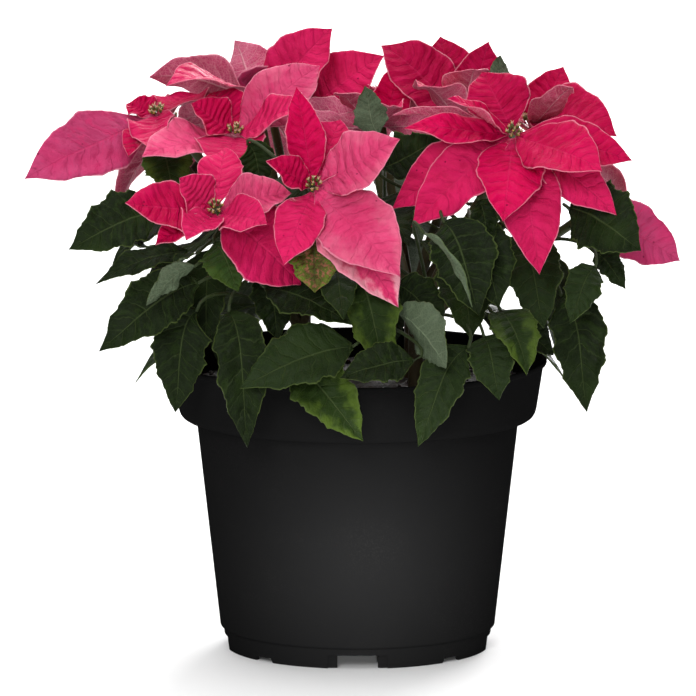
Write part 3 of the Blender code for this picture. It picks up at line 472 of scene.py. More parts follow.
class Shader:
    """A material's node tree, with a short call for each kind of node that the finishes use."""

    def __init__(self, name: str) -> None:
        """Starts the material.

        Args:
            name: The material's name.
        """
        self.material = bpy.data.materials.new(name)
        self.material.use_nodes = True
        self.tree = self.material.node_tree
        self.surface = self.tree.nodes["Principled BSDF"]

    def feed(self, socket: NodeSocket, value: NodeSocket | float | Sequence[float]) -> None:
        """Links a socket to another's output, or sets it to a value.

        Args:
            socket: The socket that is fed.
            value: An output, or a number or numbers.
        """
        if isinstance(value, NodeSocket):
            self.tree.links.new(value, socket)
        else:
            socket.default_value = value

    def set(self, **values: NodeSocket | float | Sequence[float]) -> None:
        """Feeds the surface's sockets, named in lower case with underscores."""
        for name, value in values.items():
            self.feed(self.surface.inputs[name.replace("_", " ").title().replace("Ior", "IOR")], value)

    def coordinates(self, kind: str) -> NodeSocket:
        """The piece's Object or UV coordinates."""
        return self.tree.nodes.new("ShaderNodeTexCoord").outputs[kind]

    def attribute(self, name: str) -> tuple[NodeSocket, NodeSocket]:
        """A colour attribute's colour and alpha.

        Args:
            name: The attribute's name.

        Returns:
            The two outputs.
        """
        node = self.tree.nodes.new("ShaderNodeAttribute")
        node.attribute_name = name
        return node.outputs["Color"], node.outputs["Alpha"]

    def split(self, vector: NodeSocket) -> tuple[NodeSocket, ...]:
        """A vector's three numbers.

        Args:
            vector: The vector.

        Returns:
            The numbers' outputs.
        """
        node = self.tree.nodes.new("ShaderNodeSeparateXYZ")
        self.feed(node.inputs[0], vector)
        return tuple(node.outputs)

    def join(self, *values: NodeSocket | float) -> NodeSocket:
        """A vector of three numbers.

        Args:
            *values: The numbers.

        Returns:
            The vector.
        """
        node = self.tree.nodes.new("ShaderNodeCombineXYZ")
        for socket, value in zip(node.inputs, values):
            self.feed(socket, value)
        return node.outputs[0]

    def math(self, operation: str, *values: NodeSocket | float) -> NodeSocket:
        """The result of a sum of one to three numbers.

        Args:
            operation: The sum's name in Blender.
            *values: The numbers.

        Returns:
            The result.
        """
        node = self.tree.nodes.new("ShaderNodeMath")
        node.operation = operation
        for socket, value in zip(node.inputs, values):
            self.feed(socket, value)
        return node.outputs[0]

    def times(self, first: NodeSocket, second: NodeSocket | float) -> NodeSocket:
        """The product of two numbers."""
        return self.math("MULTIPLY", first, second)

    def scaled(self, value: NodeSocket, scale: NodeSocket | float, base: NodeSocket | float) -> NodeSocket:
        """A number times a scale, and a base added."""
        return self.math("MULTIPLY_ADD", value, scale, base)

    def rest(self, value: NodeSocket) -> NodeSocket:
        """What a share leaves of the whole."""
        return self.math("SUBTRACT", 1.0, value)

    def band(self, value: NodeSocket, low: float, high: float) -> NodeSocket:
        """A smooth step from 0 at low to 1 at high.

        Args:
            value: The number that the step is taken on.
            low: Where it starts.
            high: Where it ends, which may be under low.

        Returns:
            The step.
        """
        node = self.tree.nodes.new("ShaderNodeMapRange")
        node.interpolation_type = "SMOOTHSTEP"
        self.feed(node.inputs["Value"], value)
        self.feed(node.inputs["From Min"], low)
        self.feed(node.inputs["From Max"], high)
        return node.outputs["Result"]

    def mix(self, share: NodeSocket | float, first: NodeSocket | Sequence[float],
            second: NodeSocket | Sequence[float], blend: str = "MIX") -> NodeSocket:
        """A mix of two colours.

        Args:
            share: How much of the second colour there is.
            first: The first colour.
            second: The second colour.
            blend: How the second colour is laid on the first.

        Returns:
            The mixed colour.
        """
        node = self.tree.nodes.new("ShaderNodeMix")
        node.data_type = "RGBA"
        node.blend_type = blend
        self.feed(node.inputs["Factor"], share)
        for socket, colour in ((node.inputs[6], first), (node.inputs[7], second)):
            self.feed(socket, colour if isinstance(colour, NodeSocket) else (*colour[:3], 1))
        return node.outputs[2]

    def noise(self, vector: NodeSocket, scale: float, detail: float = 2) -> NodeSocket:
        """Soft noise from 0 to 1.

        Args:
            vector: The place.
            scale: How many lumps a metre has.
            detail: How many finer layers it has.

        Returns:
            The noise.
        """
        node = self.tree.nodes.new("ShaderNodeTexNoise")
        self.feed(node.inputs["Vector"], vector)
        self.feed(node.inputs["Scale"], scale)
        self.feed(node.inputs["Detail"], detail)
        return node.outputs["Fac"]

    def cells(self, vector: NodeSocket, scale: float, feature: str = "DISTANCE_TO_EDGE") -> NodeSocket:
        """How far a point is from the edge or the middle of its cell.

        Args:
            vector: The place.
            scale: How many cells a metre has.
            feature: What the distance is taken from.

        Returns:
            The distance, as a share of a cell.
        """
        node = self.tree.nodes.new("ShaderNodeTexVoronoi")
        node.feature = feature
        self.feed(node.inputs["Vector"], vector)
        self.feed(node.inputs["Scale"], scale)
        return node.outputs["Distance"]

    def bump(self, height: NodeSocket, depth: float) -> NodeSocket:
        """A normal from a height of 0 to 1, for a relief of some millimetres.

        Args:
            height: The height.
            depth: The relief's depth in millimetres.

        Returns:
            The normal.
        """
        node = self.tree.nodes.new("ShaderNodeBump")
        self.feed(node.inputs["Distance"], depth * MM)
        self.feed(node.inputs["Height"], height)
        return node.outputs["Normal"]


@dataclass(frozen=True)
class BladeFinish:
    """One side of a bract or a leaf: its colour with veins, fine net and soft shine, painted shade in the
    crease furrows and painted highlights on the crease ridges and the rim.
    """

    name: str
    veins: int
    vein_colour: Place
    vein_share: float
    # The colour and share of the painted highlight along the edge.
    rim_highlight_colour: Place
    rim_highlight_share: float
    # The colour and share of random paler patches and of the painted highlights on the crease ridges.
    patch_and_highlight_colour: Place
    patch_and_highlight_share: float
    # How much painted shade darkens the crease furrows.
    crease_shade_share: float
    net_share: float
    relief: float
    roughness: float
    sheen: float
    specular: float
    # The colour that multiplies in random mottling and the painted shade of the crease furrows.
    blotch_and_crease_shade: Place
    vein_height: float = -1
    specks: float = 0
    margin_colour: Place = (0.12, 0.19, 0.022)
    tint: Place = (0, 0, 0)
    tint_share: float = 0

    def relief_of(self, shader: Shader, place: NodeSocket, vein: NodeSocket, near_vein: NodeSocket,
                  net: NodeSocket, crease: NodeSocket) -> NodeSocket:
        """Builds the surface's normal.

        Args:
            shader: The finish's node tree.
            place: The object coordinates.
            vein: How much of a vein there is.
            near_vein: How far the nearest side vein is.
            net: How much of the fine net there is.
            crease: The height of the creases along the side veins.

        Returns:
            The normal.
        """
        pillow = shader.math("POWER", shader.times(near_vein, 2.0), 0.7)
        height = shader.scaled(vein, self.vein_height, pillow)
        height = shader.scaled(net, 0.25 * self.vein_height, height)
        height = shader.scaled(crease, 2.2, height)
        height = shader.scaled(shader.noise(place, 300, 3), 0.6, height)
        return shader.bump(height, self.relief)

    def spotted(self, shader: Shader, place: NodeSocket, colour: NodeSocket,
                margin: NodeSocket) -> NodeSocket:
        """Lays small dark specks on a bract, or brown and pink mottling on a very pale-margined leaf.

        Args:
            shader: The finish's node tree.
            place: The object coordinates.
            colour: The colour so far.
            margin: How far the blade's margin turns pale.

        Returns:
            The colour with its spots.
        """
        if self.specks:
            spot = shader.band(shader.cells(place, 170, "F1"), 0.13, 0.05)
            rare = shader.band(shader.noise(place, 75), 0.52, 0.60)
            speck = shader.times(shader.times(spot, rare), self.specks)
            return shader.mix(speck, colour, (0.10, 0.0, 0.02))
        grains = shader.band(shader.noise(place, 620, 3), 0.47, 0.56)
        speckle = shader.times(grains, shader.band(margin, 0.7, 0.8))
        which = shader.band(shader.noise(place, 200), 0.4, 0.6)
        brown = shader.mix(which, (0.060, 0.030, 0.012), (0.34, 0.12, 0.08))
        return shader.mix(shader.times(speckle, 0.75), colour, brown)

    def material(self) -> Material:
        """Builds the finish on the blade's own vein map, tone and place.

        Returns:
            The material.
        """
        shader = Shader(self.name)
        place = shader.coordinates("Object")
        length, width, _ = shader.split(shader.coordinates("UV"))
        side = shader.math("ABSOLUTE", shader.scaled(width, 2.0, -1.0))
        tone, margin = shader.attribute("tone")

        wander = shader.scaled(shader.noise(place, 70, 3), 1.3, -0.65)
        phase = shader.scaled(length, float(self.veins), wander)
        near_vein = shader.math("PINGPONG", phase, 0.5)
        taper = shader.scaled(side, -0.75, 1.0)
        side_vein = shader.times(shader.rest(shader.band(near_vein, 0.0, 0.07)), taper)
        midrib = shader.rest(shader.band(side, 0.010, 0.055))
        vein = shader.math("MAXIMUM", shader.times(side_vein, 0.75), midrib)
        net = shader.rest(shader.band(shader.cells(place, 620), 0.0, 0.16))

        drift = shader.times(shader.noise(place, 9), 30.0)
        lines = shader.join(shader.times(phase, 3.0), shader.times(width, 4.0), drift)
        crease = shader.noise(lines, 1.0, 3)
        rough = shader.scaled(length, -0.6, 1.0)
        # The creases' furrows are darkened as painted shade and their ridges lightened as painted highlights.
        furrow_shade = shader.times(shader.band(crease, 0.50, 0.34), rough)
        ridge_highlight = shader.times(shader.band(crease, 0.48, 0.66), rough)
        # Random paler patches, together with the painted highlights on the crease ridges.
        patch_and_ridge_highlight = shader.math("MAXIMUM", shader.band(shader.noise(place, 34, 2), 0.50, 0.72), ridge_highlight)
        cloud = shader.band(shader.noise(place, 55, 3), 0.34, 0.70)
        patches = shader.scaled(shader.noise(place, 160, 3), 1.5, -0.75)
        outer = shader.band(shader.math("ADD", side, patches), 0.35, 0.95)
        paling = shader.times(outer, shader.band(length, 0.05, 0.55))
        # A thin pale line along the edge: a painted highlight on the blade's edge.
        rim = shader.band(side, 0.955, 0.99)

        colour = shader.mix(self.tint_share, tone, self.tint) if self.tint_share else tone
        for mask, share, over, blend in (
            (furrow_shade, self.crease_shade_share, self.blotch_and_crease_shade, "MULTIPLY"),
            (patch_and_ridge_highlight, self.patch_and_highlight_share, self.patch_and_highlight_colour, "MIX"),
            (cloud, 0.45, self.blotch_and_crease_shade, "MULTIPLY"),
            (paling, margin, self.margin_colour, "MIX"),
            (net, self.net_share, self.vein_colour, "MIX"),
            (vein, self.vein_share, self.vein_colour, "MIX"),
        ):
            colour = shader.mix(shader.times(mask, share), colour, over, blend)
        colour = self.spotted(shader, place, colour, margin)
        colour = shader.mix(shader.times(rim, self.rim_highlight_share), colour, self.rim_highlight_colour)

        normal = self.relief_of(shader, place, vein, near_vein, net, shader.times(crease, rough))
        shine = shader.scaled(shader.noise(place, 130), 0.16, self.roughness - 0.08)
        shader.set(base_color=colour, roughness=shine, normal=normal, specular_ior_level=self.specular,
                   sheen_weight=self.sheen, sheen_roughness=0.4, sheen_tint=(1.0, 0.75, 0.80, 1.0))
        return shader.material


BRACT_UPPER = BladeFinish(
    "bract_upper_side", veins=9, vein_colour=(0.60, 0.03, 0.12), vein_share=0.25,
    rim_highlight_colour=(0.86, 0.34, 0.44), rim_highlight_share=0.50,
    patch_and_highlight_colour=(0.63, 0.010, 0.11), patch_and_highlight_share=0.40, crease_shade_share=0.55, net_share=0.04,
    relief=0.75, roughness=0.44, sheen=0.0, specular=0.045, blotch_and_crease_shade=(0.66, 0.30, 0.50),
    vein_height=-0.40, specks=0.8, margin_colour=(0.86, 0.36, 0.44),
)
BRACT_UNDER = BladeFinish(
    "bract_underside", veins=9, vein_colour=(0.78, 0.42, 0.46), vein_share=0.60,
    rim_highlight_colour=(0.86, 0.45, 0.50), rim_highlight_share=0.6, tint=(0.56, 0.085, 0.18), tint_share=0.7,
    patch_and_highlight_colour=(0.66, 0.24, 0.32), patch_and_highlight_share=0.35, crease_shade_share=0.3, net_share=0.22,
    relief=0.45, roughness=0.6, sheen=0.03, specular=0.06, blotch_and_crease_shade=(0.72, 0.50, 0.60), vein_height=1,
)
LEAF_UPPER = BladeFinish(
    "leaf_upper_side", veins=8, vein_colour=(0.060, 0.085, 0.030), vein_share=0.55,
    rim_highlight_colour=(0.10, 0.14, 0.035), rim_highlight_share=0.45,
    patch_and_highlight_colour=(0.020, 0.038, 0.0065), patch_and_highlight_share=0.55, crease_shade_share=0.45, net_share=0.06,
    relief=0.45, roughness=0.42, sheen=0.0, specular=0.06, blotch_and_crease_shade=(0.62, 0.68, 0.52),
)
LEAF_UNDER = BladeFinish(
    "leaf_underside", veins=8, vein_colour=(0.17, 0.22, 0.13), vein_share=0.65,
    rim_highlight_colour=(0.12, 0.15, 0.08), rim_highlight_share=0.5, tint=(0.080, 0.110, 0.064), tint_share=0.85,
    patch_and_highlight_colour=(0.11, 0.15, 0.08), patch_and_highlight_share=0.2, crease_shade_share=0.2, net_share=0.25,
    relief=0.4, roughness=0.6, sheen=0.0, specular=0.2, blotch_and_crease_shade=(0.8, 0.85, 0.75), vein_height=1,
)


@dataclass(frozen=True)
class StemFinish:
    """The smooth green skin of stems and petioles, brown and corky low on the stem."""

    name: str = "stem_skin"
    lenticel: Place = (0.16, 0.13, 0.08)

    def material(self) -> Material:
        """Builds the finish on the stem's own tone.

        Returns:
            The material.
        """
        shader = Shader(self.name)
        place = shader.coordinates("Object")
        tone, _ = shader.attribute("tone")
        cloud = shader.band(shader.noise(place, 120, 3), 0.3, 0.7)
        colour = shader.mix(shader.times(cloud, 0.5), tone, (0.55, 0.6, 0.5), "MULTIPLY")
        pores = shader.band(shader.cells(place, 420, "F1"), 0.20, 0.08)
        colour = shader.mix(shader.times(pores, 0.35), colour, self.lenticel)
        height = shader.math("ADD", shader.noise(place, 380, 4), pores)
        shader.set(base_color=colour, roughness=shader.scaled(cloud, 0.2, 0.4),
                   specular_ior_level=0.2, normal=shader.bump(height, 0.25))
        return shader.material


@dataclass(frozen=True)
class FlowerFinish:
    """A waxy part of the flower cluster, mottled from one colour to another."""

    name: str
    low: Place
    high: Place
    roughness: float

    def material(self) -> Material:
        """Builds the finish.

        Returns:
            The material.
        """
        shader = Shader(self.name)
        place = shader.coordinates("Object")
        cloud = shader.band(shader.noise(place, 700, 3), 0.3, 0.7)
        shader.set(base_color=shader.mix(cloud, self.low, self.high), roughness=self.roughness,
                   normal=shader.bump(shader.noise(place, 1500, 2), 0.1))
        return shader.material


@dataclass(frozen=True)
class PeatFinish:
    """Moist peat compost: dark crumbs with lighter fibres."""

    name: str = "moist_peat"
    dark: Place = (0.008, 0.005, 0.004)
    light: Place = (0.045, 0.028, 0.018)

    def material(self) -> Material:
        """Builds the finish.

        Returns:
            The material.
        """
        shader = Shader(self.name)
        place = shader.coordinates("Object")
        crumb = shader.cells(place, 260, "F1")
        grain = shader.noise(place, 900, 4)
        colour = shader.mix(shader.band(grain, 0.35, 0.75), self.dark, self.light)
        colour = shader.mix(shader.band(crumb, 0.2, 0.8), colour, self.dark)
        height = shader.scaled(grain, 0.6, shader.rest(crumb))
        shader.set(base_color=colour, roughness=shader.scaled(grain, 0.3, 0.65),
                   normal=shader.bump(height, 1.4))
        return shader.material


@dataclass(frozen=True)
class PlasticFinish:
    """Black moulded plastic: matte, with a faint moulded grain and fine dust."""

    name: str = "black_plastic"
    colour: Place = (0.0066, 0.0066, 0.0067)
    dust: Place = (0.034, 0.033, 0.031)
    roughness: float = 0.46

    def material(self) -> Material:
        """Builds the finish.

        Returns:
            The material.
        """
        shader = Shader(self.name)
        place = shader.coordinates("Object")
        cloud = shader.band(shader.noise(place, 22, 4), 0.42, 0.75)
        fine = shader.noise(place, 1300, 3)
        powder = shader.times(cloud, shader.band(fine, 0.50, 0.72))
        colour = shader.mix(shader.times(powder, 0.16), self.colour, self.dust)
        shine = shader.scaled(cloud, 0.08, self.roughness)
        shine = shader.scaled(shader.noise(place, 240, 2), 0.06, shine)
        shader.set(base_color=colour, roughness=shine, specular_ior_level=0.0,
                   normal=shader.bump(fine, 0.05))
        return shader.material


@dataclass(frozen=True)
class Spine:
    """A blade in its place: its midrib's path, the ways that its root and its blade look, its petiole."""

    blade: Blade
    path: Path
    pad: Vector
    face: Vector
    outline: Outline
    phase: float
    petiole: Path | None = None

    def look(self, share: float, along: Vector) -> Vector:
        """The way that the upper side looks at a share of the length."""
        root_turn = 0.3
        return square_to(self.pad.lerp(self.face, min(1, share / root_turn)), along)


class Fitter:
    """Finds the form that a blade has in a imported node: bent or shortened clear of its neighbours there."""

    bends = (0, 4, -4, 8, -8, 12, -12, 17, -17, 23, -23, 30, -30, 38, -38, 46, -46)
    shrinks = (1.0, 0.86, 0.72, 0.58)
    half_blade = 0.4
    half_petiole = 0.8
    tolerance = 0.1
    handle = 0.34
    lift_off = (0.55, 0.15)
    petiole_handles = (0.3, 0.25)
    petiole_arch = 0.16

    def __init__(self, node: str) -> None:
        """Reads the node's corners.

        Args:
            node: The CAD node's name.
        """
        mesh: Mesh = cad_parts[node].data
        self.corners = KDTree(len(mesh.vertices))
        for index, vert in enumerate(mesh.vertices):
            self.corners.insert(vert.co, index)
        self.corners.balance()

    def off(self, place: Vector, distance: float) -> float:
        """How far the nearest corner is from lying at a distance from a place, in millimetres."""
        return abs(self.corners.find(place)[2] / MM - distance)

    def midrib(self, blade: Blade, root: Vector, axis: Vector) -> Path:
        """The midrib's path.

        Args:
            blade: The blade, with its face.
            root: Where it starts, in metres.
            axis: The way that its bloom or stem opens.

        Returns:
            The path.
        """
        tip = mm(blade.tip)
        length = (tip - root).length
        along = (tip - root).normalized()
        out = square_to(along, axis)
        rise = math.radians(blade.rise)
        leave = (out * math.cos(rise) + axis * math.sin(rise)) * (length * self.handle)
        first = root + leave * self.lift_off[0] + along * (length * self.lift_off[1])
        normal = square_to(Vector(blade.face), along)
        second = tip - along * (length * self.handle) + normal * (blade.arch * length)
        return root, first, second, tip

    def petiole(self, start: Vector, blade: Blade, root: Vector) -> Path:
        """A petiole's path from its stem to the blade's root.

        Args:
            start: Where it leaves its stem, in metres.
            blade: The blade.
            root: The blade's root, in metres.

        Returns:
            The path.
        """
        reach = (root - start).length
        along = (mm(blade.tip) - root).normalized()
        low, high = self.petiole_handles
        first = start + (root - start) * low + UP * reach * self.petiole_arch
        return start, first, root - along * reach * high, root

    @staticmethod
    def bent(blade: Blade, root: Vector, amount: float, shrink: float) -> Blade:
        """The blade with its tip moved the way that its upper side looks, and perhaps drawn in.

        Args:
            blade: The blade, with its face.
            root: Its root, in metres.
            amount: How far its tip moves, in millimetres.
            shrink: The share of its size that it keeps.

        Returns:
            The changed blade.
        """
        tip = Vector(blade.tip)
        start = root / MM
        normal = square_to(Vector(blade.face), (tip - start).normalized())
        moved = start + (tip - start) * shrink + normal * amount
        return replace(blade, tip=tuple(moved), width=blade.width * shrink)

    def fit(self, blade: Blade, roots: Sequence[Vector], axis: Vector, outline: Outline, phase: float,
            starts: Sequence[Vector | None] = (None,)) -> Spine | None:
        """Finds the blade in the node.

        Args:
            blade: The blade as it was drawn.
            roots: Where it can start, in metres.
            axis: The way that its bloom or stem opens.
            outline: Its outline, at whose points the node has corners.
            phase: Its place in the waves of its edges.
            starts: Where its petiole can start, in metres.

        Returns:
            The blade in its place, or None where the node has none.
        """
        if blade.face is None:
            out = square_to((mm(blade.tip) - roots[0]).normalized(), axis)
            blade = replace(blade, face=tuple(axis + out * 0.5))
        for shrink, amount in itertools.product(self.shrinks, self.bends):
            for root in roots:
                trial = self.bent(blade, root, amount, shrink)
                path = self.midrib(trial, root, axis)
                spots = [bezier(path, share)[0] for share, _ in outline.points[:0:-1]]
                if any(self.off(spot, self.half_blade) > self.tolerance for spot in spots):
                    continue
                face = Vector(blade.face)
                pad = face if axis is UP else axis
                spine = Spine(trial, path, pad, face.normalized(), outline, phase)
                if starts[0] is None:
                    return spine
                petioles = [self.petiole(start, trial, root) for start in starts]
                middle = min(petioles, key=lambda item: self.off(bezier(item, 0.5)[0], self.half_petiole))
                return replace(spine, petiole=middle)
        return None


class BladeBed:
    """A mesh that fine blades are laid into, with a vein map and a tone for each."""

    sweep = 0.55
    thickness = 0.5
    weld = 0.01
    tooth_count = 4.5
    serration_count = 13
    ripple_count = 2.1
    hand_shift = 0.3
    swells = ((2.2, 1.1, 2.6, 1), (7, 3.4, 1.0, 0), (15, 6, 0.45, 0))
    light_range = (0.86, 1.12)
    root_shade = 0.86
    seed_step = 3.7

    def __init__(self, veins: int, quilt: float, ragged: float, teeth: float) -> None:
        """Starts the mesh.

        Args:
            veins: How many side veins a blade has on each side.
            quilt: How far the blade bulges between its veins, in millimetres.
            ragged: How uneven its edges are, as a share of its width.
            teeth: How far its teeth stand out, as a share of its width.
        """
        self.veins = veins
        self.quilt = quilt
        self.ragged = ragged
        self.teeth = teeth
        self.bm = bmesh.new()
        self.map = self.bm.loops.layers.uv.new("vein_map")
        self.tone = self.bm.verts.layers.float_color.new("tone")

    def edge(self, spine: Spine, share: float, hand: float, seed: float) -> float:
        """How far the blade's edge stands out: its lobes, its fine teeth and its unevenness.

        Args:
            spine: The blade in its place.
            share: Where along the midrib, from 0 at the root to 1 at the tip.
            hand: 1 on one side of the midrib and -1 on the other.
            seed: A number that gives this blade its own unevenness.

        Returns:
            The distance as a share of the half width.
        """
        drift = 0.4 * wobble(share * 3, hand, seed + 3)
        lobe = (share * self.tooth_count + drift + spine.phase + self.hand_shift * hand) % 1
        tooth = (1 - abs(2 * lobe - 1)) ** 2.2
        serration = ((share * self.serration_count + 2 * drift + spine.phase) % 1) ** 1.4
        uneven = wobble(share * 6, hand * 2, seed)
        return self.teeth * (tooth + 0.45 * serration - 0.35) + self.ragged * uneven

    def point(self, spine: Spine, length: float, side: float, seed: float) -> Vector:
        """Where a point of the blade lies.

        Args:
            spine: The blade in its place.
            length: How far along a side vein's line it is, from 0 at the root to 1 at the tip.
            side: How far out it is, from -1 to 1.
            seed: A number that gives this blade its own unevenness.

        Returns:
            The point, in metres.
        """
        blade = spine.blade
        out, hand = abs(side), math.copysign(1, side)
        share = length + self.sweep * out * length * (1 - length)
        place, along = bezier(spine.path, share)
        look = spine.look(share, along)
        half = blade.width / 2 * spine.outline.width(share)
        fold = math.radians(blade.fold)
        middle = math.sin(math.pi * share)
        reach = half * math.cos(fold) * (1 + out**5 * self.edge(spine, share, hand, seed))

        turn = self.ripple_count * share + spine.phase + self.hand_shift * hand
        ripple = math.sin(math.tau * turn) * blade.wave * middle
        lift = half * math.sin(fold) * (0.75 * out + 0.25 * out * out) + ripple * out**1.7
        wander = 0.35 * wobble(share * 4, side * 2.5, seed + 9)
        bulge = abs(math.sin(math.pi * (self.veins * length + wander))) ** 0.8 - 0.6
        bulge *= 1 + 0.9 * wobble(share * 5, side * 3, seed + 5)
        room = (1.25 - share) * min(1, half / 6) * (1 - out**4) * min(1, out * 5)
        lift += self.quilt * bulge * room
        for stretch, spread, height, power in self.swells:
            lift += wobble(share * stretch, side * spread, seed) * height * middle * out**power
        lift += wobble(share * 4, hand, seed + 7) * 2.2 * middle * out**4
        return place + (look.cross(along) * side * reach + look * lift) * MM

    def lay(self, spine: Spine, rows: int, columns: int, tone: Tone, seed: int) -> None:
        """Lays one blade into the mesh.

        Args:
            spine: The blade in its place.
            rows: How many faces it has along its length.
            columns: How many faces it has across.
            tone: Its colour.
            seed: Its number, for its own unevenness.
        """
        draw = random.Random(seed)
        light = draw.uniform(*self.light_range)
        offset = seed * self.seed_step
        made = bmesh.ops.create_grid(self.bm, x_segments=rows, y_segments=columns, size=1)["verts"]
        red, green, blue, margin = tone.value
        for vert in made:
            length, side = (vert.co.x + 1) / 2, vert.co.y
            for loop in vert.link_loops:
                loop[self.map].uv = (length, (side + 1) / 2)
            depth = light * (self.root_shade + 0.2 * min(1, length * 1.6))
            vert[self.tone] = (red * depth, green * depth, blue * depth, margin)
            vert.co = self.point(spine, length, side, offset)
        bmesh.ops.remove_doubles(self.bm, verts=made, dist=self.weld * MM)

    def finish(self, name: str, materials: Sequence[Material], slot: Slot, node: str) -> Object:
        """Gives the sheets their thickness and makes the piece.

        Args:
            name: The piece's name.
            materials: The finishes of the upper side and the underside.
            slot: The record's slot; not used.
            node: The CAD node that the piece stands for.

        Returns:
            The piece.
        """
        piece = add_piece(name, self.bm, materials, [node])
        wall = piece.modifiers.new("thickness", "SOLIDIFY")
        wall.thickness = self.thickness * MM
        wall.offset = 0
        wall.material_offset = 1
        return piece


class TubeBed:
    """A mesh that round stems are laid into, each with its tone."""

    seam = Vector((0.3, 0.9, 0.2))
    weld = 0.01

    def __init__(self) -> None:
        """Starts the mesh."""
        self.bm = bmesh.new()
        self.tone = self.bm.verts.layers.float_color.new("tone")

    def lay(self, path: Path, radius: Callable[[float], float], steps: int, sides: int, low: Tone,
            high: Tone) -> None:
        """Rolls a sheet into a closed tube along a path.

        Args:
            path: The tube's middle line.
            radius: The radius in millimetres at a share of the length.
            steps: How many faces it has along its length.
            sides: How many faces it has round.
            low: Its colour where it starts.
            high: Its colour where it ends.
        """
        reference = square_to(self.seam, (path[3] - path[0]).normalized())
        made = bmesh.ops.create_grid(self.bm, x_segments=steps, y_segments=sides, size=1)["verts"]
        for vert in made:
            share, angle = (vert.co.x + 1) / 2, (vert.co.y + 1) * math.pi
            place, along = bezier(path, share)
            side = square_to(reference, along)
            out = side * math.cos(angle) + along.cross(side) * math.sin(angle)
            vert[self.tone] = Vector(low.value).lerp(Vector(high.value), share)
            vert.co = place + out * radius(share) * MM
        bmesh.ops.remove_doubles(self.bm, verts=made, dist=self.weld * MM)

    def finish(self, name: str, material: Material, node: str) -> Object:
        """Closes the tubes' ends and makes the piece.

        Args:
            name: The piece's name.
            material: The stems' finish.
            node: The CAD node that the piece stands for.

        Returns:
            The piece.
        """
        edges = [edge for edge in self.bm.edges if edge.is_boundary]
        bmesh.ops.holes_fill(self.bm, edges=edges, sides=0)
        outward(self.bm)
        return add_piece(name, self.bm, [material], [node])


